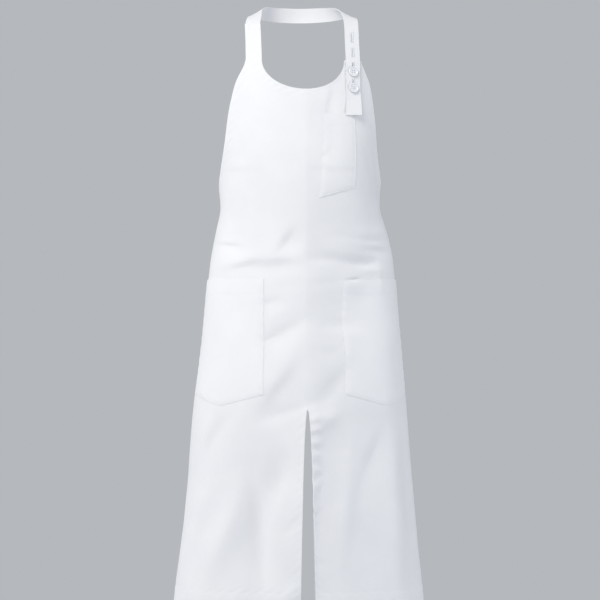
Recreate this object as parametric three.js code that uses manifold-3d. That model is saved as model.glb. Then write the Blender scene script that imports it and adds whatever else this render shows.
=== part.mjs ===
// A bib apron in the shape it takes when worn: one cloth panel with a split skirt and one shoulder
// strap cut with it, a neck strap buttoned to the other bib corner, three patch pockets, and two waist
// ties knotted behind. Millimetres, +Z up, the front faces -Y and the nape of the neck is at the origin.
import * as THREE from 'three';
import { mergeGeometries, mergeVertices } from 'three/addons/utils/BufferGeometryUtils.js';
import Module from 'manifold-3d';

const wasm = await Module();
wasm.setup();

// Cloth: every wall has one thickness, and pieces that lie on each other keep a small gap.
const CLOTH = 1.2;
const GAP = 0.5;
const LAYER = CLOTH + GAP;

// The form that the cloth hangs on: level ellipses about an upright axis in front of the nape.
// left, right and front are their half widths, cut is half of the panel's width along the cloth.
const AXIS_Y = -72;
const SECTIONS = [
  { z: 0, left: 168, right: 160, front: 50, cut: 105 },
  { z: -30, left: 168, right: 160, front: 70, cut: 105 },
  { z: -90, left: 167, right: 154, front: 96, cut: 106 },
  { z: -137, left: 165, right: 149, front: 108, cut: 129 },
  { z: -180, left: 161, right: 146, front: 114, cut: 143 },
  { z: -245, left: 155, right: 144, front: 118, cut: 161 },
  { z: -300, left: 147, right: 142, front: 117, cut: 188 },
  { z: -340, left: 144, right: 141, front: 114, cut: 217 },
  { z: -380, left: 142, right: 146, front: 110, cut: 248 },
  { z: -425, left: 149, right: 156, front: 107, cut: 290 },
  { z: -482, left: 160, right: 168, front: 110, cut: 296 },
  { z: -590, left: 174, right: 179, front: 119, cut: 306 },
  { z: -716, left: 192, right: 192, front: 128, cut: 317 },
  { z: -878, left: 205, right: 205, front: 138, cut: 332 },
  { z: -1066, left: 227, right: 223, front: 150, cut: 350 },
];

// Heights of the panel's lines, the neckline's reach on each side, and the slit's half width at the hem.
const STRAP_SEAM = -28;
const BIB_TOP = -94;
const NECKLINE_LOW = -146.5;
const NECKLINE_HALF = { left: 77, right: 72 };
const BIB_BASE = -230;
const WAIST = -425;
const SLIT_TOP = -710;
const HEM = -1066;
const SLIT_HALF = 13.5;

// The ties pull the cloth up at the sides, most at one height, from the first reach to the second.
const SIDE_LIFT = { rise: 34, z: -440, span: 110, from: 65, to: 220 };

// Main folds: s and z give the middle on the cloth, turn the way it runs, in degrees from level, long
// its half length, wide and low its half widths above and below that run, and depth its height along
// the outward normal, negative for a valley.
const FOLDS = [
  { name: 'armhole roll', s: 129, z: -284, turn: -76, long: 93, wide: 16, low: 40, depth: 5 },
  { name: 'fall at the armhole', s: 156, z: -297, turn: -73, long: 104, wide: 29, low: 28, depth: -6.5 },
  { name: 'bib drag', s: -32, z: -418, turn: 55, long: 24, wide: 12, low: 24, depth: -3.2 },
  { name: 'left waist ridge', s: -95, z: -428, turn: 6, long: 70, wide: 13, low: 13, depth: 3 },
  { name: 'pressed centre line', s: 0, z: -430, turn: 90, long: 260, wide: 14, low: 14, depth: 1.5 },
  { name: 'right waist valley', s: 85, z: -444, turn: -4, long: 72, wide: 11, low: 11, depth: -5.5 },
  { name: 'left waist valley', s: -88, z: -452, turn: 7, long: 78, wide: 12, low: 12, depth: -5 },
  { name: 'right waist ridge', s: 112, z: -464, turn: -8, long: 48, wide: 9, low: 9, depth: 3 },
  { name: 'upper right drag', s: 38, z: -535, turn: 62, long: 34, wide: 18, low: 18, depth: -3 },
  { name: 'upper left drag', s: -40, z: -560, turn: 31, long: 42, wide: 16, low: 16, depth: -3 },
  { name: 'lower left ridge', s: -42, z: -650, turn: 53, long: 42, wide: 22, low: 16, depth: 3 },
  { name: 'pull at the slit top', s: 25, z: -727, turn: -5, long: 29, wide: 20, low: 27, depth: 6 },
  { name: 'right skirt valley', s: 129, z: -794, turn: 63, long: 56, wide: 18, low: 34, depth: -7 },
  { name: 'swell left of the slit', s: 2, z: -840, turn: 87, long: 125, wide: 36, low: 18, depth: 12 },
  { name: 'right side ridge', s: 165, z: -876, turn: 93, long: 183, wide: 27, low: 29, depth: 9 },
  { name: 'right side of the skirt', s: 216, z: -880, turn: -84, long: 161, wide: 28, low: 26, depth: -4 },
  { name: 'right skirt ridge', s: 66, z: -880, turn: 85, long: 67, wide: 21, low: 21, depth: 9 },
  { name: 'lower left swell', s: -106, z: -895, turn: 78, long: 91, wide: 20, low: 46, depth: -4.3 },
  { name: 'left edge swell', s: -218, z: -909, turn: 60, long: 103, wide: 16, low: 22, depth: 3 },
  { name: 'left skirt valley', s: -81, z: -923, turn: 90, long: 92, wide: 22, low: 31, depth: -10.5 },
  { name: 'left skirt ridge', s: -146, z: -927, turn: 60, long: 116, wide: 26, low: 26, depth: 5 },
  { name: 'pull at the left hem corner', s: -27, z: -1029, turn: 46, long: 25, wide: 12, low: 20, depth: 5 },
];

// Panel mesh: columns from the middle to the edge, with lines on the hip pockets' edges, and rows in bands.
const COLUMNS = { middle: 3, pocket: 10, edge: 4, neck: 12 };
const BAND_ROWS = { strap: 3, bib: 6, chest: 10, waist: 5, hips: 9, skirt: 11 };

// Hip pockets: where each reaches along the cloth, and the heights that both have. The ties lift the cloth
// at the sides, so a mouth that hangs level is cut lower at its outer end.
const HIP_REACH = { left: { inner: 75, outer: 239 }, right: { inner: 68, outer: 232 } };
const HIP_POCKET = { mouth: -481, outerMouth: -511, corner: -684, point: -706, rows: 9 };

// Chest pocket: its four corners on the cloth.
const CHEST_POCKET = {
  mouth: -188.5,
  innerTop: 31,
  outerTop: 90,
  innerLow: { s: 22, z: -338 },
  outerLow: { s: 88.5, z: -319.5 },
  columns: 4,
  rows: 8,
};

// Straps and ties.
const STRAP_WIDTH = 26.5;
const STRAP_S = 87;
const STRAP_STEPS = 66;
const STRAP_COLUMNS = 2;
const STRAP_LIFT = 3.6;
const STRAP_TILT = 1.5;
const SEAM = { s: 91, lap: 20, drop: LAYER + 0.8 };
// The strap's free end in front of the bib, upwards: its height, how far its middle stands off the form,
// and how much further its outer edge does.
const STRAP_FRONT = [
  { z: -193, lift: 8.2, tilt: 4.3 },
  { z: -168, lift: 5, tilt: 3.3 },
  { z: -144, lift: STRAP_LIFT, tilt: STRAP_TILT },
  { z: -115, lift: STRAP_LIFT, tilt: STRAP_TILT },
  { z: -88, lift: 3.2, tilt: 1.2 },
  { z: -60, lift: 1, tilt: 0.5 },
  { z: -34, lift: 0, tilt: 0 },
];
// The neck loop from the right shoulder to the nape: dip turns the strap's width from level to upright.
const NECK_LOOP = [
  { x: 86, y: -113, z: -15, dip: 12 },
  { x: 81, y: -88, z: -5, dip: 28 },
  { x: 70, y: -54, z: -1, dip: 48 },
  { x: 52, y: -25, z: 0, dip: 68 },
  { x: 27, y: -6, z: 0, dip: 83 },
  { x: 0, y: CLOTH / 2, z: 0, dip: 90 },
];
const TIE = { width: 25, top: -426, start: 266, columns: 14, rows: 1, settle: 40 };
const KNOT = { half: new THREE.Vector3(17, 9, 13), tail: 280, splay: 38, fall: 12, steps: 8, gap: 0.8 };

// Buttons and buttonholes.
const BUTTON = { radius: 9, height: 3.2, shank: 1.2, hole: 0.9, holeReach: 2.4, sides: 20 };
const BUTTON_Z = { button_upper: -115, button_lower: -144 };
const BUTTONHOLES = { count: 4, step: 29, length: 20, width: 3.4, below: 2, lowest: -144, depth: 12 };

// Colours
const CLOTH_WHITE = new THREE.MeshStandardMaterial({ color: '#f1f3f6', roughness: 0.9, metalness: 0 });
const BUTTON_WHITE = new THREE.MeshStandardMaterial({ color: '#f4f5f7', roughness: 0.35, metalness: 0 });

const { clamp, degToRad, lerp, smoothstep } = THREE.MathUtils;

/** Reads a column of SECTIONS at height z on a smooth curve that never overshoots its rows. */
function sectionAt(column, z) {
  const found = SECTIONS.findIndex((row) => row.z < z);
  const i = clamp((found < 0 ? SECTIONS.length : found) - 1, 0, SECTIONS.length - 2);
  const secant = (k) => {
    const j = clamp(k, 0, SECTIONS.length - 2);
    return (SECTIONS[j + 1][column] - SECTIONS[j][column]) / (SECTIONS[j + 1].z - SECTIONS[j].z);
  };
  const slope = (k) => {
    const before = secant(k - 1);
    const after = secant(k);
    return before * after > 0 ? (2 * before * after) / (before + after) : 0;
  };
  const span = SECTIONS[i + 1].z - SECTIONS[i].z;
  const t = (z - SECTIONS[i].z) / span;
  const rise = SECTIONS[i + 1][column] - SECTIONS[i][column];
  const ease = t * t * (3 - 2 * t);
  const bow = t * (1 - t) * ((1 - t) * slope(i) - t * slope(i + 1)) * span;
  return SECTIONS[i][column] + rise * ease + bow;
}

/** The angle round an ellipse, from its front, that an arc of the given length reaches. */
function angleAtArc(arc, side, front) {
  const step = degToRad(1);
  let angle = 0;
  let walked = 0;
  for (;;) {
    const middle = angle + step / 2;
    const stride = step * Math.hypot(side * Math.cos(middle), front * Math.sin(middle));
    if (walked + stride >= arc) return angle + (step * (arc - walked)) / stride;
    walked += stride;
    angle += step;
  }
}

/** The half width of the form on the side that s is on, at height z. */
function sideAt(s, z) {
  return sectionAt(s < 0 ? 'left' : 'right', z);
}

/** The arc from the front of the form at height z to the middle of the back, on the side that s is on. */
function halfGirth(s, z) {
  const side = sideAt(s, z);
  const front = sectionAt('front', z);
  const steps = 180;
  let arc = 0;
  for (let i = 0; i < steps; i += 1) {
    const angle = ((i + 0.5) * Math.PI) / steps;
    arc += (Math.PI / steps) * Math.hypot(side * Math.cos(angle), front * Math.sin(angle));
  }
  return arc;
}

/** How far the main folds push the cloth out at a place on it. */
function foldDepth(s, z) {
  let depth = 0;
  for (const fold of FOLDS) {
    const turn = degToRad(fold.turn);
    const along = (s - fold.s) * Math.cos(turn) + (z - fold.z) * Math.sin(turn);
    const across = (z - fold.z) * Math.cos(turn) - (s - fold.s) * Math.sin(turn);
    const half = across > 0 ? fold.wide : fold.low;
    depth += fold.depth * Math.exp(-((along / fold.long) ** 2) - (across / half) ** 2);
  }
  return depth;
}

/** A point of the draped cloth's middle: s is its reach along the cloth, z its height before the lift. */
function clothPoint(s, z) {
  const side = sideAt(s, z);
  const front = sectionAt('front', z);
  const angle = Math.sign(s) * angleAtArc(Math.abs(s), side, front);
  const reach = smoothstep(Math.abs(s), SIDE_LIFT.from, SIDE_LIFT.to);
  const lift = SIDE_LIFT.rise * reach * Math.exp(-(((z - SIDE_LIFT.z) / SIDE_LIFT.span) ** 2));
  const out = new THREE.Vector3(front * Math.sin(angle), -side * Math.cos(angle), 0).normalize();
  const point = new THREE.Vector3(side * Math.sin(angle), AXIS_Y - front * Math.cos(angle), z + lift);
  return point.addScaledVector(out, foldDepth(s, z));
}

/** A place on the cloth with its own axes: X across, Y up the cloth, Z outwards, raised by lift. */
function seatOnCloth(s, z, lift) {
  const reach = 0.5;
  const across = clothPoint(s + reach, z).sub(clothPoint(s - reach, z)).normalize();
  const up = clothPoint(s, z + reach).sub(clothPoint(s, z - reach));
  const out = across.clone().cross(up).normalize();
  const place = clothPoint(s, z).addScaledVector(out, lift);
  return new THREE.Matrix4().makeBasis(across, out.clone().cross(across), out).setPosition(place);
}

/** A point raised off the draped cloth by lift. */
function layerPoint(s, z, lift) {
  return new THREE.Vector3().setFromMatrixPosition(seatOnCloth(s, z, lift));
}

/** A flat grid of cloth, each node placed by placeAt(u, v), with u and v from 0 to 1. */
function clothPatch(columns, rows, placeAt) {
  const patch = new THREE.PlaneGeometry(1, 1, columns, rows);
  const nodes = patch.getAttribute('position');
  for (let i = 0; i < nodes.count; i += 1) {
    const [s, z] = placeAt(nodes.getX(i) + 0.5, nodes.getY(i) + 0.5);
    nodes.setXYZ(i, s, z, 0);
  }
  patch.deleteAttribute('normal');
  patch.deleteAttribute('uv');
  return patch;
}

/** Closes an outer and an inner skin of the same triangles into one wall. */
function closeWall(outer, inner, triangles) {
  const under = outer.length;
  const faces = [];
  const edges = new Map();
  for (let i = 0; i < triangles.length; i += 3) {
    const [a, b, c] = triangles.slice(i, i + 3);
    faces.push(a, b, c, under + a, under + c, under + b);
    for (const edge of [[a, b], [b, c], [c, a]]) edges.set(edge.join(), edge);
  }
  for (const [from, to] of edges.values()) {
    if (!edges.has([to, from].join())) {
      faces.push(from, under + from, to, to, under + from, under + to);
    }
  }
  const wall = new THREE.BufferGeometry().setFromPoints([...outer, ...inner]);
  wall.setIndex(faces);
  return wall;
}

/** A cloth wall draped on the form from flat patches that share their edges; liftAt(s, z) layers it. */
function drapedWall(patches, liftAt) {
  const flat = mergeVertices(mergeGeometries(patches), 1e-3);
  const nodes = flat.getAttribute('position');
  const outer = [];
  const inner = [];
  for (let i = 0; i < nodes.count; i += 1) {
    const s = nodes.getX(i);
    const z = nodes.getY(i);
    const lift = liftAt(s, z);
    outer.push(layerPoint(s, z, lift + CLOTH / 2));
    inner.push(layerPoint(s, z, lift - CLOTH / 2));
  }
  return closeWall(outer, inner, Array.from(flat.index.array));
}

/** A flat strip between two edge curves; seen from outside the second edge is on the right, going along. */
function ribbonWall(leftEdge, rightEdge, columns, steps) {
  const plane = new THREE.PlaneGeometry(1, 1, columns, steps);
  const nodes = plane.getAttribute('position');
  const outer = [];
  const inner = [];
  for (let i = 0; i < nodes.count; i += 1) {
    const u = nodes.getX(i) + 0.5;
    const v = clamp(nodes.getY(i) + 0.5, 0, 1);
    const left = leftEdge.getPoint(v);
    const right = rightEdge.getPoint(v);
    const along = leftEdge.getTangent(v).add(rightEdge.getTangent(v));
    const out = right.clone().sub(left).cross(along).normalize();
    const middle = left.lerp(right, u);
    outer.push(middle.clone().addScaledVector(out, CLOTH / 2));
    inner.push(middle.addScaledVector(out, -CLOTH / 2));
  }
  return closeWall(outer, inner, Array.from(plane.index.array));
}

/** A closed geometry as a solid that can be joined and cut. */
function toSolid(geometry) {
  const bare = geometry.clone();
  bare.deleteAttribute('normal');
  bare.deleteAttribute('uv');
  const welded = mergeVertices(bare, 1e-4);
  return new wasm.Manifold(new wasm.Mesh({
    numProp: 3,
    vertProperties: new Float32Array(welded.getAttribute('position').array),
    triVerts: new Uint32Array(welded.index.array),
  }));
}

/** A joined or cut solid as a geometry again. */
function toGeometry(solid) {
  const mesh = solid.getMesh();
  const geometry = new THREE.BufferGeometry();
  geometry.setAttribute('position', new THREE.BufferAttribute(mesh.vertProperties, 3));
  geometry.setIndex(new THREE.BufferAttribute(mesh.triVerts, 1));
  return geometry;
}

/** Columns of half of the panel at the waist, from the centre line to its edge, and on its pocket's sides. */
function waistColumns({ inner, outer }) {
  const cut = sectionAt('cut', WAIST);
  const spread = (from, to, count) => Array.from({ length: count }, (_, i) => lerp(from, to, i / count));
  return [
    ...spread(0, inner, COLUMNS.middle),
    ...spread(inner, outer, COLUMNS.pocket),
    ...spread(outer, cut, COLUMNS.edge),
    cut,
  ];
}

/** Half of the slit's width at height z, nothing above its top. */
function slitHalf(z) {
  return SLIT_HALF * Math.sqrt(clamp((SLIT_TOP - z) / (SLIT_TOP - HEM), 0, 1));
}

/** A place on half of the skirt, waist or chest: u from the centre line to the edge, at height z. */
function panelPlace(u, z, { inner, outer }) {
  const columns = waistColumns({ inner, outer });
  const column = columns[Math.round(u * (columns.length - 1))];
  const cut = sectionAt('cut', z);
  const waistCut = sectionAt('cut', WAIST);
  if (z >= WAIST) {
    const t = (z - WAIST) / (BIB_BASE - WAIST);
    return [cut * lerp(column / waistCut, u, t), z];
  }
  const s = column <= outer ? column : lerp(outer, cut, (column - outer) / (waistCut - outer));
  return [s + slitHalf(z) * Math.max(0, 1 - s / inner), z];
}

/** A place on half of the upper bib, a patch between the neckline and the armhole edge. */
function bibPlace(u, v, neckShare, neckHalf) {
  const bottomCut = sectionAt('cut', BIB_BASE);
  const topCut = sectionAt('cut', BIB_TOP);
  const edgeZ = lerp(BIB_BASE, BIB_TOP, v);
  const angle = (Math.min(u / neckShare, 1) * Math.PI) / 2;
  const strapU = Math.max(0, (u - neckShare) / (1 - neckShare));
  const topS = u <= neckShare ? neckHalf * Math.sin(angle) : lerp(neckHalf, topCut, strapU);
  const topZ = u <= neckShare ? lerp(BIB_TOP, NECKLINE_LOW, Math.cos(angle)) : BIB_TOP;
  const edgeS = sectionAt('cut', edgeZ);
  const s = lerp(u * bottomCut, topS, v) + u * (edgeS - lerp(bottomCut, topCut, v));
  const middleZ = lerp(BIB_BASE, NECKLINE_LOW, v);
  const flatZ = lerp(middleZ, edgeZ, u);
  const z = lerp(BIB_BASE, topZ, v) + flatZ - lerp(BIB_BASE, lerp(NECKLINE_LOW, BIB_TOP, u), v);
  return [s, z];
}

/** The panel: skirt, waist, chest and bib on both sides, and the left shoulder strap. */
function bodyPanel() {
  const columns = waistColumns(HIP_REACH.left).length - 1;
  const neckShare = COLUMNS.neck / columns;
  const bands = [
    { low: HEM, high: SLIT_TOP, rows: BAND_ROWS.skirt },
    { low: SLIT_TOP, high: HIP_POCKET.mouth, rows: BAND_ROWS.hips },
    { low: HIP_POCKET.mouth, high: WAIST, rows: BAND_ROWS.waist },
    { low: WAIST, high: BIB_BASE, rows: BAND_ROWS.chest },
  ];
  const bothHalves = (rows, placeAt) => [
    clothPatch(columns, rows, (u, v) => placeAt(u, v, 'right')),
    clothPatch(columns, rows, (u, v) => {
      const [s, z] = placeAt(1 - u, v, 'left');
      return [-s, z];
    }),
  ];
  const patches = bands.flatMap(({ low, high, rows }) => (
    bothHalves(rows, (u, v, side) => panelPlace(u, lerp(low, high, v), HIP_REACH[side]))
  ));
  patches.push(...bothHalves(BAND_ROWS.bib, (u, v, side) => bibPlace(u, v, neckShare, NECKLINE_HALF[side])));
  patches.push(clothPatch(columns - COLUMNS.neck, BAND_ROWS.strap, (u, v) => {
    const z = lerp(BIB_TOP, STRAP_SEAM, v);
    return [-lerp(sectionAt('cut', z), NECKLINE_HALF.left, u), z];
  }));
  return drapedWall(patches, () => 0);
}

/** A hip pocket on the viewer's left or right side. */
function hipPocket(side) {
  const { inner, outer } = HIP_REACH[side];
  const { mouth, outerMouth, corner, point, rows } = HIP_POCKET;
  const patch = clothPatch(COLUMNS.pocket, rows, (u, v) => {
    const s = side === 'left' ? lerp(-outer, -inner, u) : lerp(inner, outer, u);
    const share = (Math.abs(s) - inner) / (outer - inner);
    const low = lerp(point, corner, Math.abs(2 * u - 1));
    return [s, lerp(low, lerp(mouth, outerMouth, share), v)];
  });
  return drapedWall([patch], () => LAYER);
}

/** The chest pocket, whose mouth is level and whose bottom slants. */
function chestPocket() {
  const { mouth, innerTop, outerTop, innerLow, outerLow, columns, rows } = CHEST_POCKET;
  const patch = clothPatch(columns, rows, (u, v) => {
    const s = lerp(lerp(innerLow.s, outerLow.s, u), lerp(innerTop, outerTop, u), v);
    return [s, lerp(lerp(innerLow.z, outerLow.z, u), mouth, v)];
  });
  return drapedWall([patch], () => LAYER);
}

/** The slots of the buttonholes, each running up the strap from just below its button's middle. */
function buttonholeCutters() {
  const { count, step, length, width, below, lowest, depth } = BUTTONHOLES;
  const round = width / 2;
  const slot = new THREE.Shape();
  slot.absarc(0, round - below, round, Math.PI, 2 * Math.PI);
  slot.absarc(0, length - below - round, round, 0, Math.PI);
  return Array.from({ length: count }, (_, i) => {
    const cutter = new THREE.ExtrudeGeometry(slot, { depth, bevelEnabled: false, curveSegments: 4 });
    cutter.translate(0, 0, -depth / 2);
    return cutter.applyMatrix4(seatOnCloth(STRAP_S, lowest + i * step, STRAP_LIFT));
  });
}

/** The neck strap from its free end up the right front, round the nape and down to the left seam. */
function neckStrap() {
  const loopPoint = ({ x, y, z, dip }, side, reach) => {
    const angle = degToRad(dip);
    return new THREE.Vector3(side * (x + reach * Math.cos(angle)), y, z - reach * Math.sin(angle));
  };
  const edge = (reach) => new THREE.CatmullRomCurve3([
    ...STRAP_FRONT.map(({ z, lift, tilt }) => layerPoint(STRAP_S + reach, z, lift + tilt * Math.sign(reach))),
    ...NECK_LOOP.map((station) => loopPoint(station, 1, reach)),
    ...NECK_LOOP.slice(0, -1).reverse().map((station) => loopPoint(station, -1, reach)),
    ...[STRAP_SEAM, STRAP_SEAM - SEAM.lap].map((z) => layerPoint(-SEAM.s - reach, z, -SEAM.drop)),
  ]);
  const strip = ribbonWall(edge(-STRAP_WIDTH / 2), edge(STRAP_WIDTH / 2), STRAP_COLUMNS, STRAP_STEPS);
  const slots = buttonholeCutters().map(toSolid);
  return toGeometry(slots.reduce((strap, slot) => strap.subtract(slot), toSolid(strip)));
}

/** A four-hole button on its thread shank, with its axis out from the buttoned strap at height z. */
function button(z) {
  const { radius, height, shank, hole, holeReach, sides } = BUTTON;
  const stem = STRAP_LIFT;
  const profile = [
    [0, -stem], [shank, -stem], [shank, 0], [radius - 1.6, 0], [radius, 1.2], [radius, height - 0.9],
    [radius - 0.8, height], [radius - 2.2, height], [radius - 3.4, height - 1], [0, height - 1],
  ].map(([x, y]) => new THREE.Vector2(x, y));
  const disc = new THREE.LatheGeometry(profile, sides).rotateX(Math.PI / 2);
  let solid = toSolid(disc);
  for (let i = 0; i < 4; i += 1) {
    const turn = (i + 0.5) * (Math.PI / 2);
    const drill = new THREE.CylinderGeometry(hole, hole, 4 * height, 8).rotateX(Math.PI / 2);
    drill.translate(holeReach * Math.cos(turn), holeReach * Math.sin(turn), 2 * height - GAP / 2);
    solid = solid.subtract(toSolid(drill));
  }
  const onStrap = toGeometry(solid).translate(0, 0, CLOTH / 2 + GAP);
  onStrap.rotateY(-Math.atan(STRAP_TILT / (STRAP_WIDTH / 2)));
  return onStrap.applyMatrix4(seatOnCloth(STRAP_S, z, STRAP_LIFT));
}

/** A waist tie on one side, from under the panel's corner to the knot. */
function waistTie(side) {
  const { width, top, start, columns, rows, settle } = TIE;
  const end = halfGirth(side, top - width / 2) - KNOT.half.x - KNOT.gap;
  const edge = sectionAt('cut', top);
  const patch = clothPatch(columns, rows, (u, v) => {
    const s = side < 0 ? lerp(-end, -start, u) : lerp(start, end, u);
    return [s, lerp(top - width, top, v)];
  });
  return drapedWall([patch], (s) => -LAYER * (1 - smoothstep(Math.abs(s), edge + GAP, edge + settle)));
}

/** The knot behind the waist with its two hanging tails, as one piece. */
function waistKnot() {
  const height = TIE.top - TIE.width / 2;
  const back = AXIS_Y + sectionAt('front', height);
  const centre = new THREE.Vector3(0, back, layerPoint(TIE.start, height, 0).z);
  const ball = new THREE.SphereGeometry(1, 20, 12).scale(KNOT.half.x, KNOT.half.y, KNOT.half.z);
  let solid = toSolid(ball.translate(centre.x, centre.y, centre.z));
  for (const side of [-1, 1]) {
    const edge = (reach) => new THREE.QuadraticBezierCurve3(
      centre.clone().add(new THREE.Vector3(reach / 2, side * CLOTH, 0)),
      centre.clone().add(new THREE.Vector3(side * KNOT.splay + reach, KNOT.fall, -KNOT.tail / 2)),
      centre.clone().add(new THREE.Vector3(side * KNOT.splay + reach, KNOT.fall, -KNOT.tail)),
    );
    const tail = ribbonWall(edge(-TIE.width / 2), edge(TIE.width / 2), 1, KNOT.steps);
    solid = solid.add(toSolid(tail));
  }
  return toGeometry(solid);
}

/** A named piece of the apron. */
function piece(name, geometry, material) {
  const mesh = new THREE.Mesh(geometry, material);
  mesh.name = name;
  return mesh;
}

const apron = new THREE.Group();
apron.name = 'bib_apron';
apron.add(
  piece('body_panel', bodyPanel(), CLOTH_WHITE),
  piece('neck_strap', neckStrap(), CLOTH_WHITE),
  piece('chest_pocket', chestPocket(), CLOTH_WHITE),
  piece('hip_pocket_left', hipPocket('left'), CLOTH_WHITE),
  piece('hip_pocket_right', hipPocket('right'), CLOTH_WHITE),
  piece('waist_tie_left', waistTie(-1), CLOTH_WHITE),
  piece('waist_tie_right', waistTie(1), CLOTH_WHITE),
  piece('waist_knot', waistKnot(), CLOTH_WHITE),
);
for (const [name, z] of Object.entries(BUTTON_Z)) {
  apron.add(piece(name, button(z), BUTTON_WHITE));
}

export default apron;
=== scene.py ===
"""A white bib apron in its worn shape: cloth, seams, buttons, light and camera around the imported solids."""
from __future__ import annotations

import logging
import math
from dataclasses import dataclass
from enum import Enum

import bmesh
import bpy
import numpy as np
from mathutils import Matrix, Vector


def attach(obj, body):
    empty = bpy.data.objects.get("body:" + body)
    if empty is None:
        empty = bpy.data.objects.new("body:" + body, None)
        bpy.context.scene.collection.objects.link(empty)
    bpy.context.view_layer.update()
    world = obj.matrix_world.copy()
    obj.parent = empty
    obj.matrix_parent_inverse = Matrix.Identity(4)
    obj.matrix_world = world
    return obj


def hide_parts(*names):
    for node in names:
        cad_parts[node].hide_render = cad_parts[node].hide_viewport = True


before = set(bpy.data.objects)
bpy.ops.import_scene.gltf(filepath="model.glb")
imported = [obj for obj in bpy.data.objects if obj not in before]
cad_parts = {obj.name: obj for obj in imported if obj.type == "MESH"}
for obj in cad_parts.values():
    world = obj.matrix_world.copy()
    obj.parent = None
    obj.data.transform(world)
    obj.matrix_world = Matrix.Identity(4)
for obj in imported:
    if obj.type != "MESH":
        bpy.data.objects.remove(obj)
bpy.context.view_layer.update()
LOG = logging.getLogger("apron")

# Tables are in millimetres, and meshes are in metres.
MM = 0.001
BODY = "root"

# Cloth layers: the wall's thickness and the space between pieces that lie on each other.
CLOTH = 1.2
GAP = 0.5
LAYER = CLOTH + GAP

# Edges of a cloth wall that turn more than this look sharp.
SHARP_TURN = math.radians(50)

# Places on the cloth that agree to this many digits are one place.
WELD_DIGITS = 3

# Shares along a band are laid out in thousandths, so that welding rounds them finely.
SHARE_SCALE = 1000

# A distance past every hem, and a number that counts as nothing.
FAR_OFF = 99.0
TINY = 1e-6

# Lines of the panel: heights, and reaches measured along the cloth from the centre line.
STRAP_SEAM = -28.0
BIB_TOP = -94.0
NECKLINE_LOW = -146.5
NECKLINE_LEFT = 77.0
NECKLINE_RIGHT = 72.0
BIB_BASE = -230.0
WAIST = -425.0
HIP_LINE = -482.0
SLIT_TOP = -710.0
HEM = -1066.0
SLIT_HALF = 13.5

# Seeds and bump sizes of the noise that makes puckers uneven.
HEM_NOISE = (31, 60, 60)
SLIT_NOISE = (37, 40, 40)
POCKET_NOISE = (41, 50, 50)

Array = np.ndarray


class Slot(Enum):
    """The record's material slots."""

    CLOTH = "cloth"
    BUTTON = "button"


class Side(Enum):
    """A side of the apron seen from the front, with the sign of x there."""

    LEFT = -1
    RIGHT = 1


@dataclass(frozen=True)
class Section:
    """A level section of the form: height, half widths, half depth, and half of the panel's cut width."""

    z: float
    left: float
    right: float
    front: float
    cut: float


SECTIONS: tuple[Section, ...] = (
    Section(z=0, left=168, right=160, front=50, cut=105),
    Section(z=-30, left=168, right=160, front=70, cut=105),
    Section(z=-90, left=167, right=154, front=96, cut=106),
    Section(z=-137, left=165, right=150, front=108, cut=129),
    Section(z=-180, left=161, right=153, front=114, cut=143),
    Section(z=-245, left=155, right=158, front=118, cut=161),
    Section(z=-300, left=147, right=155, front=117, cut=188),
    Section(z=-340, left=144, right=148, front=114, cut=217),
    Section(z=-380, left=142, right=147, front=110, cut=248),
    Section(z=-425, left=149, right=156, front=107, cut=290),
    Section(z=-482, left=160, right=168, front=110, cut=296),
    Section(z=-590, left=174, right=179, front=119, cut=306),
    Section(z=-716, left=192, right=192, front=128, cut=317),
    Section(z=-878, left=205, right=205, front=138, cut=332),
    Section(z=-1066, left=227, right=223, front=150, cut=350),
)


class FoldShape(Enum):
    """How a fold is rounded across: SOFT as a swell, CRISP as a pressed or pulled crease."""

    SOFT = "soft"
    CRISP = "crisp"


CRISP = FoldShape.CRISP

# The radius that a crisp crease keeps.
CREASE_ROUND = 0.9


@dataclass(frozen=True)
class Fold:
    """A fold on the cloth: its middle, its run in degrees from level, half sizes, and height outwards.

    Seen along a run to the right, wide is the half width above it and low the one below it.
    """

    name: str
    s: float
    z: float
    turn: float
    long: float
    wide: float
    low: float
    depth: float
    shape: FoldShape = FoldShape.SOFT

    def at(self, s: Array, z: Array) -> Array:
        """Gives the fold's height.

        Args:
            s: Places across the cloth.
            z: Places up the cloth.

        Returns:
            The height at each place.
        """
        turn = math.radians(self.turn)
        along = (s - self.s) * math.cos(turn) + (z - self.z) * math.sin(turn)
        across = (z - self.z) * math.cos(turn) - (s - self.s) * math.sin(turn)
        half = np.where(across > 0, self.wide, self.low)
        if self.shape is FoldShape.SOFT:
            return self.depth * np.exp(-((along / self.long) ** 2) - (across / half) ** 2)
        rounded = np.hypot(across, CREASE_ROUND) - CREASE_ROUND
        return self.depth * np.exp(-((along / self.long) ** 4) - rounded / half)


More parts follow.
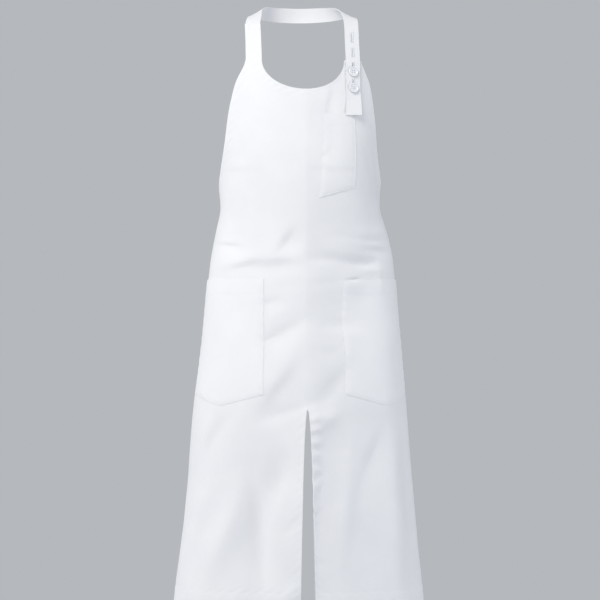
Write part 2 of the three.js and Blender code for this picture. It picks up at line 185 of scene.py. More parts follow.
# Folds from the bib down to the hem: swells, pressed packing lines, and slanting drags.
# The columns are s, z, turn, long, wide, low and depth.
FOLDS: tuple[Fold, ...] = (
    Fold("pull from the strap end", 44, -170, 76, 25, 6, 11, -1.7),
    Fold("pull at the pocket mouth", 34, -191, 7, 14, 5, 6, -0.3),
    Fold("left bib fold", -142, -200, 77, 40, 10, 12, 1.6),
    Fold("crease along the chest pocket", 44, -216, 87, 46, 11, 14, -1.9),
    Fold("pull at the pocket side", 36, -262, 49, 16, 6, 24, -1.5),
    Fold("upper packing line, right", 48, -280, -1, 52, 45, 8, 2),
    Fold("upper packing line, left", -121, -283, 3, 35, 11, 7, 0.9),
    Fold("armhole roll", 84, -276, -82, 80, 30, 48, 7.5),
    Fold("fall at the armhole", 172, -276, -78, 88, 32, 40, -12),
    Fold("armhole inner roll", 121, -314, -72, 49, 8, 8, 0.9),
    Fold("right chest crease", 60, -408, -1, 18, 8, 6, -0.9),
    Fold("waist right dent", 119, -413, -15, 43, 16, 13, 1.7),
    Fold("left waist fold", -140, -417, 23, 36, 8, 8, -0.5),
    Fold("bib drag", -32, -418, 55, 24, 10, 24, -5.8),
    Fold("pressed centre line", 0, -420, 90, 300, 30, 30, 2.6, CRISP),
    Fold("right side crease", 136, -428, -20, 54, 10, 6, -3),
    Fold("left side crease", -149, -442, 15, 31, 5, 16, -3.6),
    Fold("left waist ledge, inner", -58, -443, 3, 54, 51, 11, 4.1),
    Fold("right waist fold", 137, -444, -20, 50, 6, 8, -0.4),
    Fold("right waist valley, inner", 34, -447, -5, 34, 11, 8, -2.5),
    Fold("right side wedge", 149, -450, -21, 36, 7, 8, -4.4),
    Fold("left waist ledge, end", -46, -441, 2, 20, 16, 8, 1.8),
    Fold("left waist ledge, outer", -122, -461, 25, 41, 13, 7, 4.2),
    Fold("right waist valley, outer", 104, -462, -15, 57, 16, 20, -9.4),
    Fold("right waist valley, end", 130, -466, -15, 20, 11, 6, -3),
    Fold("hollow under the left ledge", -69, -464, 6, 60, 10, 17, -1.5),
    Fold("tuck at the right mouth", 90, -484.3, -2, 16, 2.4, 4, -3.5),
    Fold("valley at the right mouth", 118, -490, -8, 30, 12, 12, -2.2),
    Fold("packing line on the right pocket", 150, -494, 90, 26, 4, 4, 1.3),
    Fold("roll under the right valley", 130, -476, -17, 38, 5, 8, 3),
    Fold("hip fold under the ledge", -44, -484, 13, 38, 9, 9, 0.3),
    Fold("hollow under the right valley", 36, -488, 11, 29, 9, 8, -1.1),
    Fold("pocket hem crease", 118, -513, -9, 30, 24, 22, -4.6),
    Fold("pucker by the left pocket", -63, -523, 10, 18, 7, 13, -3),
    Fold("hollow by the right pocket", 62, -543, 91, 46, 46, 90, -11),
    Fold("drag by the left pocket", -55, -545, 27, 24, 7, 8, 0.8),
    Fold("upper left drag, inner", -19, -565, 38, 31, 14, 17, -3.4),
    Fold("roll by the right pocket", 65, -565, -5, 31, 15, 10, -4.6),
    Fold("upper left drag, outer", -52, -585, 24, 26, 16, 23, -6.4),
    Fold("tick at the left pocket", -67, -588, 30, 9, 3.5, 3.5, -1.3),
    Fold("pocket left swell", -124, -592, 87, 75, 29, 32, 0.4),
    Fold("pocket right swell", 142, -593, -94, 74, 39, 23, 1.2),
    Fold("small crease by the right pocket", 58, -605, 47, 12, 6, 6, -0.7),
    Fold("hip band right", 38, -613, -5, 25, 12, 15, -1.9),
    Fold("rise at the centre line", 2, -630, 90, 115, 120, 62, 8),
    Fold("drag above the slit", -36, -640, 51, 42, 8, 8, -0.7),
    Fold("lower left drag", -50, -654, 53, 46, 25, 13, 7.5),
    Fold("roll beside the lower right drag", 57, -664, 54, 39, 12, 9, -1.4),
    Fold("lower right roll", 39, -668, 43, 41, 6, 6, -0.5),
    Fold("lower right drag", 43, -679, 42, 46, 20, 17, -3.6),
    Fold("right hip", 115, -695, -6, 60, 66, 29, 5.3),
    Fold("left hip", -115, -696, -1, 60, 95, 57, 5.6),
    Fold("dent under the left pocket", -62, -722, 15, 26, 22, 16, -4),
    Fold("pull at the slit top, left", -18, -709, 18, 43, 11, 9, -1.7),
    Fold("wedge by the slit top", 37, -726, 26, 21, 10, 11, 2.4),
    Fold("pull at the slit top, right", 25, -727, -5, 29, 20, 27, 7),
    Fold("upper left skirt fold", -187, -750, 65, 45, 14, 16, 3.4),
    Fold("left hip drag", -166, -753, 51, 44, 12, 16, -2.6),
    Fold("right flap fold", 77, -786, 80, 35, 8, 9, 0.9),
    Fold("left outer fold", -187, -793, 79, 50, 8, 8, -1.3),
    Fold("right skirt valley", 129, -794, 63, 56, 18, 34, -7.1),
    Fold("valley over the left flap", -52, -838, 48, 50, 40, 34, -10.5),
    Fold("swell left of the slit", 2, -840, 87, 125, 36, 18, 16.5),
    Fold("flap fold by the slit", -40, -861, 73, 50, 9, 11, 1.7),
    Fold("right skirt dent", 95, -867, 19, 20, 13, 18, -0.8),
    Fold("left flap fold", -95, -869, 67, 42, 8, 8, -0.3),
    Fold("right side ridge", 165, -876, 93, 183, 27, 29, 9),
    Fold("right side of the skirt", 216, -880, -84, 161, 28, 26, -4),
    Fold("right skirt ridge", 66, -880, 85, 67, 21, 21, 9),
    Fold("lower left swell", -106, -895, 78, 91, 20, 46, -6.6),
    Fold("left edge swell", -218, -909, 60, 103, 16, 22, 4.2),
    Fold("crease by the slit", -26, -913, 49, 22, 7, 10, -1.8),
    Fold("left skirt valley", -92, -945, 97, 125, 28, 26, -18),
    Fold("left skirt ridge", -146, -927, 60, 116, 26, 26, 9.4),
    Fold("left flap, lower fold", -136, -943, 72, 46, 9, 8, -0.5),
    Fold("right flap, lower fold", 65, -948, 83, 48, 11, 14, 1.3),
    Fold("lower swell left of the slit", 0, -990, 90, 60, 38, 15, 7),
    Fold("hem packing line, right", 20, -982, 1, 14, 8, 7, -1.3),
    Fold("right hem swell", 110, -990, -11, 81, 30, 20, 0.3),
    Fold("right hem corner", 202, -1008, -49, 41, 10, 10, -0.9),
    Fold("pull at the left hem corner", -27, -1029, 46, 25, 12, 20, 5.2),
)


@dataclass(frozen=True)
class SideLift:
    """How the waist ties pull the cloth up at the sides, most at height z."""

    rise: float = 34
    z: float = -440
    span: float = 110
    start: float = 65
    end: float = 220

    def at(self, s: Array, z: Array) -> Array:
        """Gives the lift at places on the cloth."""
        t = np.clip((np.abs(s) - self.start) / (self.end - self.start), 0, 1)
        return self.rise * t * t * (3 - 2 * t) * np.exp(-(((z - self.z) / self.span) ** 2))


class Crumple:
    """Seeded smooth noise over the cloth, from -1 to 1, with bumps of a given size."""

    GRID = 64

    def __init__(self, seed: int, size_s: float, size_z: float) -> None:
        """Draws the noise's grid from a seed, for bumps of a size across and up the cloth."""
        self.values = np.random.default_rng(seed).uniform(-1, 1, (self.GRID, self.GRID))
        self.size = (size_s, size_z)

    def at(self, s: Array, z: Array) -> Array:
        """Gives the noise.

        Args:
            s: Places across the cloth.
            z: Places up the cloth.

        Returns:
            A value from -1 to 1 at each place.
        """
        p, q = s / self.size[0], z / self.size[1]
        i, j = np.floor(p).astype(int), np.floor(q).astype(int)
        u, v = p - i, q - j
        u, v = u * u * u * (u * (6 * u - 15) + 10), v * v * v * (v * (6 * v - 15) + 10)
        grid, n = self.values, self.GRID
        low = grid[i % n, j % n] * (1 - u) + grid[(i + 1) % n, j % n] * u
        high = grid[i % n, (j + 1) % n] * (1 - u) + grid[(i + 1) % n, (j + 1) % n] * u
        return low * (1 - v) + high * v


class DrapedForm:
    """The surface that the apron's cloth follows: level ellipses with lifted sides and folds.

    A place on it is s, measured along the cloth from the centre line, and z, the height before the lift.
    """

    # The form's upright axis, the reach that normals are taken over, and the sums that measure arcs.
    AXIS_Y = -72.0
    NORMAL_REACH = 0.5
    ARC_NODES, ARC_WEIGHTS = np.polynomial.legendre.leggauss(12)
    ANGLE_ROUNDS = 6

    def __init__(self) -> None:
        """Prepares the section columns and the cloth's slack noise."""
        self.rows_z = np.array([row.z for row in SECTIONS], float)
        self.columns = {
            name: np.array([getattr(row, name) for row in SECTIONS], float)
            for name in ("left", "right", "front", "cut")
        }
        self.lift = SideLift()
        # Heights of the slack in the cloth, with noise of falling size.
        self.slack = ((0.8, Crumple(11, 95, 130)), (0.4, Crumple(12, 34, 46)), (0.12, Crumple(13, 13, 17)))

    def column(self, name: str, z: Array) -> Array:
        """Reads a section column on a smooth curve that never overshoots its rows.

        Args:
            name: The column.
            z: Heights.

        Returns:
            The column's value at each height.
        """
        rows, values = self.rows_z, self.columns[name]
        z = np.asarray(z, float)
        i = np.clip(np.searchsorted(-rows, -z, side="right") - 1, 0, len(rows) - 2)
        secant = np.diff(values) / np.diff(rows)
        before = np.concatenate([secant[:1], secant])
        after = np.concatenate([secant, secant[-1:]])
        both = before + after
        product = before * after
        slope = np.where(product > 0, 2 * product / np.where(both == 0, 1, both), 0)
        span = rows[i + 1] - rows[i]
        t = (z - rows[i]) / span
        ease = t * t * (3 - 2 * t)
        bow = t * (1 - t) * ((1 - t) * slope[i] - t * slope[i + 1]) * span
        return values[i] + (values[i + 1] - values[i]) * ease + bow

    def side(self, s: Array, z: Array) -> Array:
        """Gives the form's half width on the side that each place is on."""
        return np.where(s < 0, self.column("left", z), self.column("right", z))

    def arc(self, angle: Array, side: Array, front: Array) -> Array:
        """Gives the length of an ellipse's arc from its front.

        Args:
            angle: Angles round the ellipse.
            side: The ellipse's half width for each angle.
            front: The ellipse's half depth for each angle.

        Returns:
            The arc to each angle.
        """
        half = angle[:, None] / 2
        turn = half * (self.ARC_NODES + 1)
        speed = np.hypot(side[:, None] * np.cos(turn), front[:, None] * np.sin(turn))
        return (half * speed * self.ARC_WEIGHTS).sum(axis=1)

    def angle(self, arc: Array, side: Array, front: Array) -> Array:
        """Gives the angle round an ellipse that an arc reaches.

        Args:
            arc: Lengths from the front.
            side: The ellipse's half width for each arc.
            front: The ellipse's half depth for each arc.

        Returns:
            The angle at the end of each arc.
        """
        angle = arc / np.maximum(side, front)
        for _ in range(self.ANGLE_ROUNDS):
            rate = np.hypot(side * np.cos(angle), front * np.sin(angle))
            angle = angle - (self.arc(angle, side, front) - arc) / rate
        return angle

    def half_girth(self, s: float, z: float) -> float:
        """Gives the arc from the front to the middle of the back, on the side that s is on."""
        side = self.side(np.array([s]), np.array([z]))
        return float(self.arc(np.array([math.pi]), side, self.column("front", np.array([z])))[0])

    def depth(self, s: Array, z: Array) -> Array:
        """Gives how far folds, creases and slack push the cloth out.

        Args:
            s: Places across the cloth.
            z: Places up the cloth.

        Returns:
            The depth at each place.
        """
        total = np.zeros_like(s)
        for fold in FOLDS:
            total += fold.at(s, z)
        for height, noise in self.slack:
            total += height * noise.at(s, z)
        return total

    def points(self, s: Array, z: Array) -> Array:
        """Gives the points of the cloth's middle.

        Args:
            s: Places across the cloth.
            z: Places up the cloth.

        Returns:
            A point for each place, in millimetres.
        """
        side, front = self.side(s, z), self.column("front", z)
        angle = np.sign(s) * self.angle(np.abs(s), side, front)
        out = np.stack([front * np.sin(angle), -side * np.cos(angle)], axis=1)
        out /= np.linalg.norm(out, axis=1, keepdims=True)
        depth = self.depth(s, z)
        x = side * np.sin(angle) + depth * out[:, 0]
        y = self.AXIS_Y - front * np.cos(angle) + depth * out[:, 1]
        return np.stack([x, y, z + self.lift.at(s, z)], axis=1)

    def normals(self, s: Array, z: Array) -> Array:
        """Gives the cloth's outward normals.

        Args:
            s: Places across the cloth.
            z: Places up the cloth.

        Returns:
            A unit normal for each place.
        """
        reach = self.NORMAL_REACH
        across = self.points(s + reach, z) - self.points(s - reach, z)
        up = self.points(s, z + reach) - self.points(s, z - reach)
        out = np.cross(across, up)
        return out / np.linalg.norm(out, axis=1, keepdims=True)

    def layer(self, s: Array, z: Array, lift: Array | float) -> Array:
        """Gives points raised off the cloth's middle along its normals."""
        return self.points(s, z) + self.normals(s, z) * np.reshape(lift, (-1, 1))

    def seat(self, s: float, z: float, lift: float) -> Matrix:
        """Gives a place with its own axes, X across, Y up the cloth and Z outwards.

        Args:
            s: Place across the cloth.
            z: Place up the cloth.
            lift: Height off the cloth's middle.

        Returns:
            The place's matrix, in metres.
        """
        at_s, at_z = np.array([s]), np.array([z])
        out = Vector(self.normals(at_s, at_z)[0])
        step = self.points(at_s + self.NORMAL_REACH, at_z) - self.points(at_s - self.NORMAL_REACH, at_z)
        across = Vector(step[0]).normalized()
        place = Vector(self.layer(at_s, at_z, lift)[0]) * MM
        turn = Matrix((across, out.cross(across), out)).transposed()
        return Matrix.Translation(place) @ turn.to_4x4()


FORM = DrapedForm()


def lerp(a: Array | float, b: Array | float, t: Array | float) -> Array | float:
    """Goes from a to b by the share t."""
    return a + (b - a) * t


def step_up(x: Array, at: Array | float, width: Array | float) -> Array:
    """Gives a smooth step from 0 to 1 around a place."""
    t = np.clip((x - at) / width + 0.5, 0, 1)
    return t * t * (3 - 2 * t)


def ridge(x: Array, at: float, width: float) -> Array:
    """Gives a smooth ridge of height 1 at a place."""
    return np.exp(-(((x - at) / width) ** 2))


class ClothGrid:
    """Grids of places on the cloth that are welded where they share edges."""

    def __init__(self) -> None:
        """Starts with no grids."""
        self.places: list[Array] = []
        self.quads: list[Array] = []
        self.count = 0

    def add(self, s: Array, z: Array, keep: Array | None = None) -> None:
        """Adds a grid.

        Args:
            s: Places across, a row for each row of the grid, growing to the right.
            z: Places up, growing upwards.
            keep: Which cells are cloth, all of them where it is left out.
        """
        rows, columns = s.shape
        index = np.arange(rows * columns).reshape(rows, columns) + self.count
        cells = np.stack([index[:-1, :-1], index[:-1, 1:], index[1:, 1:], index[1:, :-1]], axis=-1)
        self.quads.append(cells.reshape(-1, 4) if keep is None else cells[keep])
        self.places.append(np.stack([s.ravel(), z.ravel()], axis=1))
        self.count += rows * columns

    def weld(self) -> tuple[Array, Array, Array]:
        """Joins equal places.

        Returns:
            The places across, the places up, and the quads that index them.
        """
        places = np.concatenate(self.places)
        quads = np.concatenate(self.quads)
        rounded = np.round(places, WELD_DIGITS)
        _, first, inverse = np.unique(rounded, axis=0, return_index=True, return_inverse=True)
        quads = inverse.reshape(-1)[quads]
        used, compact = np.unique(quads, return_inverse=True)
        kept = places[first[used]]
        return kept[:, 0], kept[:, 1], compact.reshape(-1, 4)


def add_piece(mesh: bpy.types.Mesh) -> bpy.types.Object:
    """Adds an object for a mesh, under the mesh's name.

    Args:
        mesh: The mesh.

    Returns:
        The new object.
    """
    piece = bpy.data.objects.new(mesh.name, mesh)
    bpy.context.scene.collection.objects.link(piece)
    return piece


def wall_mesh(name: str, outer: Array, inner: Array, quads: Array, flat: Array) -> bpy.types.Object:
    """Makes a closed cloth wall from an outer and an inner skin.

    Args:
        name: The piece's name.
        outer: Points of the outer skin, in millimetres.
        inner: Points of the inner skin.
        quads: Quads of both skins, turned outwards.
        flat: Each point's place on the flat cloth, which becomes its UV map.

    Returns:
        The new object.
    """
    under = len(outer)
    edges = np.concatenate([quads[:, [k, (k + 1) % 4]] for k in range(4)])
    keys = edges[:, 0] * under + edges[:, 1]
    rim = edges[~np.isin(keys, edges[:, 1] * under + edges[:, 0])]
    sides = np.stack([rim[:, 1], rim[:, 0], rim[:, 0] + under, rim[:, 1] + under], axis=1)
    faces = np.concatenate([quads, quads[:, ::-1] + under, sides])
    mesh = bpy.data.meshes.new(name)
    mesh.from_pydata((np.concatenate([outer, inner]) * MM).tolist(), [], faces.tolist())
    corners = np.empty(len(mesh.loops), dtype=np.int32)
    mesh.loops.foreach_get("vertex_index", corners)
    layer = mesh.uv_layers.new(name="cloth")
    layer.data.foreach_set("uv", (flat[corners % under] * MM).astype(np.float32).ravel())
    mesh.shade_smooth()
    mesh.set_sharp_from_angle(angle=SHARP_TURN)
    return add_piece(mesh)


def flat_area(s: Array, z: Array, quads: Array) -> float:
    """Gives the area of flat quads.

    Args:
        s: Places across the cloth.
        z: Places up the cloth.
        quads: The quads that index them.

    Returns:
        The area in square metres.
    """
    x, y = s[quads], z[quads]
    cross = (x[:, 2] - x[:, 0]) * (y[:, 3] - y[:, 1]) - (x[:, 3] - x[:, 1]) * (y[:, 2] - y[:, 0])
    return float(np.abs(cross).sum() / 2 * MM * MM)


def linear(hex_colour: str) -> tuple[float, float, float, float]:
    """Turns an sRGB hex value to a linear colour.

    Args:
        hex_colour: The colour, such as #FFFFFF.

    Returns:
        Red, green and blue, with an alpha of 1.
    """
    parts = [int(hex_colour[i : i + 2], 16) / 255 for i in (1, 3, 5)]
    curve = [c / 12.92 if c <= 0.04045 else ((c + 0.055) / 1.055) ** 2.4 for c in parts]
    return (curve[0], curve[1], curve[2], 1.0)


def add_node(
    tree: bpy.types.NodeTree,
    kind: str,
    inputs: dict[str | int, object] | None = None,
    **settings: object,
) -> bpy.types.Node:
    """Adds a shader node with its settings and links.

    Args:
        tree: The node tree.
        kind: The node's type.
        inputs: Values, or output sockets to link from, by input name or number.
        **settings: Properties of the node.

    Returns:
        The new node.
    """
    node = tree.nodes.new(kind)
    for key, value in settings.items():
        setattr(node, key, value)
    for key, value in (inputs or {}).items():
        if isinstance(value, bpy.types.NodeSocket):
            tree.links.new(value, node.inputs[key])
        else:
            node.inputs[key].default_value = value
    return node


def new_material(name: str) -> tuple[bpy.types.Material, bpy.types.NodeTree]:
    """Makes an empty node material.

    Args:
        name: The material's name.

    Returns:
        The material and its node tree.
    """
    material = bpy.data.materials.new(name)
    material.use_nodes = True
    material.node_tree.nodes.clear()
    return material, material.node_tree


def band_scale(period_mm: float) -> float:
    """Gives the wave texture's scale whose bands repeat every period on a map in metres."""
    return 2 * math.pi / (20 * period_mm * MM)


@dataclass(frozen=True)
class Twill:
    """Bleached cotton and polyester twill, woven, washed and pressed."""

    # To the eye it is matt white with fine slanting ribs, faint clouds from washing and a little edge sheen.
    name: str = "bleached_twill"
    colour: str = "#F2F2F3"
    shade: str = "#E8E9EC"
    roughness: float = 0.88
    sheen: float = 0.06
    specular: float = 0.3
    # Real ribs are 0.6 mm apart, and they are drawn at twice that so that they show.
    rib_mm: float = 1.2
    rib_turn: float = 58.0
    rib_wander: float = 0.6
    weft_mm: float = 0.8
    weft_wander: float = 0.4
    cloud_mm: float = 70.0
    # The weave's height, and how strongly it turns the light.
    weave_mm: float = 0.15
    weave_strength: float = 0.25

    def material(self) -> bpy.types.Material:
        """Builds the node material on the piece's own flat map.

        Returns:
            The material.
        """
        material, tree = new_material(self.name)
        flat = add_node(tree, "ShaderNodeUVMap", uv_map="cloth").outputs["UV"]
        slant = (0, 0, math.radians(self.rib_turn))
        turned = add_node(tree, "ShaderNodeMapping", {"Vector": flat, "Rotation": slant})
        ribs = add_node(
            tree,
            "ShaderNodeTexWave",
            {
                "Vector": turned.outputs[0],
                "Scale": band_scale(self.rib_mm),
                "Distortion": self.rib_wander,
                "Detail": 1.0,
            },
        )
        weft = add_node(
            tree,
            "ShaderNodeTexWave",
            {"Vector": flat, "Scale": band_scale(self.weft_mm), "Distortion": self.weft_wander},
            bands_direction="Y",
        )
        weave = add_node(
            tree,
            "ShaderNodeMath",
            {0: ribs.outputs["Fac"], 1: weft.outputs["Fac"], 2: 0.5},
            operation="MULTIPLY_ADD",
        )
        cloud = add_node(
            tree,
            "ShaderNodeTexNoise",
            {"Vector": flat, "Scale": 1 / (self.cloud_mm * MM), "Detail": 3.0},
        )
        tint = add_node(
            tree,
            "ShaderNodeMix",
            {"Factor": cloud.outputs["Fac"], "A": linear(self.shade), "B": linear(self.colour)},
            data_type="RGBA",
        )
        bump = add_node(
            tree,
            "ShaderNodeBump",
            {"Height": weave.outputs[0], "Strength": self.weave_strength, "Distance": self.weave_mm * MM},
        )
        shader = add_node(
            tree,
            "ShaderNodeBsdfPrincipled",
            {
                "Base Color": tint.outputs["Result"],
                "Roughness": self.roughness,
                "Sheen Weight": self.sheen,
                "Specular IOR Level": self.specular,
                "Normal": bump.outputs["Normal"],
            },
        )
        add_node(tree, "ShaderNodeOutputMaterial", {"Surface": shader.outputs["BSDF"]})
        return material


@dataclass(frozen=True)
class SpunThread:
    """Spun polyester sewing thread, two plies twisted together."""

    # To the eye it is a shade whiter than the cloth, with a soft gloss and slanting lines from the twist; its
    # colour is also set brighter than that, as a painted highlight, so that the rows beside hemmed edges show
    # as the bright lines of edges catching the light.
    name: str = "spun_thread"
    # Near pure white: the thread's own white plus a painted highlight along the stitched edges.
    colour: str = "#FBFCFE"
    shade: str = "#EDF0F5"
    roughness: float = 0.6
    sheen: float = 0.1
    # Real plies turn every 0.4 mm or so, and they are drawn coarser so that they show.
    twist_mm: float = 1.0

    def material(self) -> bpy.types.Material:
        """Builds the node material on Object coordinates.

        Returns:
            The material.
        """
        material, tree = new_material(self.name)
        place = add_node(tree, "ShaderNodeTexCoord").outputs["Object"]
        twist = add_node(
            tree,
            "ShaderNodeTexWave",
            {"Vector": place, "Scale": band_scale(self.twist_mm)},
            bands_direction="DIAGONAL",
        )
        tint = add_node(
            tree,
            "ShaderNodeMix",
            {"Factor": twist.outputs["Fac"], "A": linear(self.shade), "B": linear(self.colour)},
            data_type="RGBA",
        )
        shader = add_node(
            tree,
            "ShaderNodeBsdfPrincipled",
            {
                "Base Color": tint.outputs["Result"],
                "Roughness": self.roughness,
                "Sheen Weight": self.sheen,
            },
        )
        add_node(tree, "ShaderNodeOutputMaterial", {"Surface": shader.outputs["BSDF"]})
        return material


@dataclass(frozen=True)
class CastPolyester:
    """Cast polyester button stock, turned and tumbled to a polish."""

    # To the eye it is milky white with a clear gloss and faint clouds from the casting.
    name: str = "cast_polyester"
    colour: str = "#F4F6F9"
    shade: str = "#E2E6EC"
    roughness: float = 0.22
    ior: float = 1.55
    coat: float = 0.3
    cloud_mm: float = 6.0
    cloud_wander: float = 1.2

    def material(self) -> bpy.types.Material:
        """Builds the node material on Object coordinates.

        Returns:
            The material.
        """
        material, tree = new_material(self.name)
        place = add_node(tree, "ShaderNodeTexCoord").outputs["Object"]
        cloud = add_node(
            tree,
            "ShaderNodeTexNoise",
            {
                "Vector": place,
                "Scale": 1 / (self.cloud_mm * MM),
                "Detail": 2.0,
                "Distortion": self.cloud_wander,
            },
        )
        tint = add_node(
            tree,
            "ShaderNodeMix",
            {"Factor": cloud.outputs["Fac"], "A": linear(self.shade), "B": linear(self.colour)},
            data_type="RGBA",
        )
        shader = add_node(
            tree,
            "ShaderNodeBsdfPrincipled",
            {
                "Base Color": tint.outputs["Result"],
                "Roughness": self.roughness,
                "IOR": self.ior,
                "Coat Weight": self.coat,
            },
        )
        add_node(tree, "ShaderNodeOutputMaterial", {"Surface": shader.outputs["BSDF"]})
        return material


@dataclass(frozen=True)
class PaperSweep:
    """Uncoated paper for the floor, rolled from pulp."""

    # To the eye it is a pale matt grey with a faint fibre grain.
    name: str = "paper_sweep"
    colour: str = "#DFE1E4"
    shade: str = "#D9DBDF"
    roughness: float = 0.95
    fibre_mm: float = 4.0

    def material(self) -> bpy.types.Material:
        """Builds the node material on Object coordinates.

        Returns:
            The material.
        """
        material, tree = new_material(self.name)
        place = add_node(tree, "ShaderNodeTexCoord").outputs["Object"]
        grain = add_node(tree, "ShaderNodeTexNoise", {"Vector": place, "Scale": 1 / (self.fibre_mm * MM)})
        tint = add_node(
            tree,
            "ShaderNodeMix",
            {"Factor": grain.outputs["Fac"], "A": linear(self.shade), "B": linear(self.colour)},
            data_type="RGBA",
        )
        shader = add_node(
            tree,
            "ShaderNodeBsdfPrincipled",
            {"Base Color": tint.outputs["Result"], "Roughness": self.roughness},
        )
        add_node(tree, "ShaderNodeOutputMaterial", {"Surface": shader.outputs["BSDF"]})
        return material


@dataclass(frozen=True)
class Finishes:
    """The materials that the pieces share; double_cloth is whiter, for a pocket that lies over the panel."""

    cloth: bpy.types.Material
    double_cloth: bpy.types.Material
    thread: bpy.types.Material
    button: bpy.types.Material
    floor: bpy.types.Material


def make_finishes() -> Finishes:
    """Builds each finish once.

    Returns:
        The finishes.
    """
    return Finishes(
        cloth=Twill().material(),
        double_cloth=Twill("bleached_twill_double", colour="#F4F4F5", shade="#EBECEF").material(),
        thread=SpunThread().material(),
        button=CastPolyester().material(),
        floor=PaperSweep().material(),
    )


def dress_piece(piece: bpy.types.Object, material: bpy.types.Material, slot: Slot, *nodes: str) -> None:
    """Gives a piece its finish, its body and the solids that it stands for.

    Args:
        piece: The piece.
        material: Its finish.
        slot: The record's material slot; not used.
        *nodes: Solids that it replaces.
    """
    piece.data.materials.clear()
    piece.data.materials.append(material)
    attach(piece, BODY)
    if nodes:
        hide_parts(*nodes)
    LOG.info("%s: %d faces", piece.name, len(piece.data.polygons))


def run_lengths(points: Array) -> Array:
    """Gives the distance of each point along a line of points."""
    return np.concatenate([[0], np.cumsum(np.linalg.norm(np.diff(points, axis=0), axis=1))])


def along_line(values: Array, reach: Array, at: Array) -> Array:
    """Reads vectors that are given at distances along a line."""
    return np.stack([np.interp(at, reach, values[:, k]) for k in range(3)], axis=1)


@dataclass(frozen=True)
class Stitch:
    """A lockstitch: spacing along the seam, length, and the thread's width and height."""

    pitch: float = 3.6
    length: float = 2.7
    width: float = 0.7
    height: float = 0.45
    sunk: float = 0.2


class Stitching:
    """Collects stitches of one piece and makes them one mesh."""

    # Shares along a stitch with its swell there, how far its ends sink, and how much its top narrows.
    RINGS = ((0.0, 0.45), (0.5, 1.0), (1.0, 0.45))
    SINK = 0.4
    TOP = 0.6

    def __init__(self, shape: Stitch = Stitch()) -> None:
        """Starts with no stitches.

        Args:
            shape: The size of each stitch.
        """
        self.shape = shape
        self.starts: list[Array] = []
        self.ends: list[Array] = []
        self.outs: list[Array] = []

    def bars(self, starts: Array, ends: Array, outs: Array) -> None:
        """Adds stitches between pairs of points.

        Args:
            starts: Points where stitches start.
            ends: Points where they end.
            outs: The cloth's normals there.
        """
        self.starts.append(starts)
        self.ends.append(ends)
        self.outs.append(outs)

    def along(self, points: Array, outs: Array) -> None:
        """Adds a row of stitches along a line.

        Args:
            points: Points on the line, on the cloth's face.
            outs: The cloth's normals there.
        """
        reach = run_lengths(points)
        begin = np.arange(self.shape.pitch / 2, reach[-1] - self.shape.length, self.shape.pitch)
        if len(begin) == 0:
            return
        length = self.shape.length
        middle = along_line(outs, reach, begin + length / 2)
        middle /= np.linalg.norm(middle, axis=1, keepdims=True)
        self.bars(along_line(points, reach, begin), along_line(points, reach, begin + length), middle)

    def build(self, name: str) -> bpy.types.Object:
        """Makes one object of all the stitches, each a thread that dips into the cloth at both ends.

        Args:
            name: The piece's name.

        Returns:
            The new object.
        """
        start, end, out = (np.concatenate(x) for x in (self.starts, self.ends, self.outs))
        along = end - start
        length = np.linalg.norm(along, axis=1, keepdims=True)
        side = np.cross(out, along / length)
        shape = self.shape
        rings = []
        for share, swell in self.RINGS:
            centre = start + along * share
            half = side * shape.width * swell / 2
            low = centre - out * shape.sunk
            high = centre + out * (shape.height * (swell - self.SINK))
            top = half * self.TOP
            rings.append(np.stack([low - half, low + half, high + top, high - top], axis=1))
        points = np.concatenate(rings, axis=1).reshape(-1, 3)
        cell = [[3, 2, 1, 0], [8, 9, 10, 11]]
        for ring in (0, 4):
            for k in range(4):
                n = (k + 1) % 4
                cell.append([ring + k, ring + n, ring + 4 + n, ring + 4 + k])
        faces = (np.arange(len(start))[:, None, None] * 12 + np.array(cell)).reshape(-1, 4)
        mesh = bpy.data.meshes.new(name)
        mesh.from_pydata((points * MM).tolist(), [], faces.tolist())
        mesh.shade_smooth()
        return add_piece(mesh)


def slit_half(z: Array) -> Array:
    """Gives half of the slit's width at each height."""
    return SLIT_HALF * np.sqrt(np.clip((SLIT_TOP - z) / (SLIT_TOP - HEM), 0, 1))


def cut_at(z: Array) -> Array:
    """Gives half of the panel's width along the cloth."""
    return FORM.column("cut", z)


def cut_stretch(z: Array) -> Array:
    """Gives how much longer a level step is than one square to the panel's edge."""
    return np.hypot(1, (cut_at(z + 1) - cut_at(z - 1)) / 2)


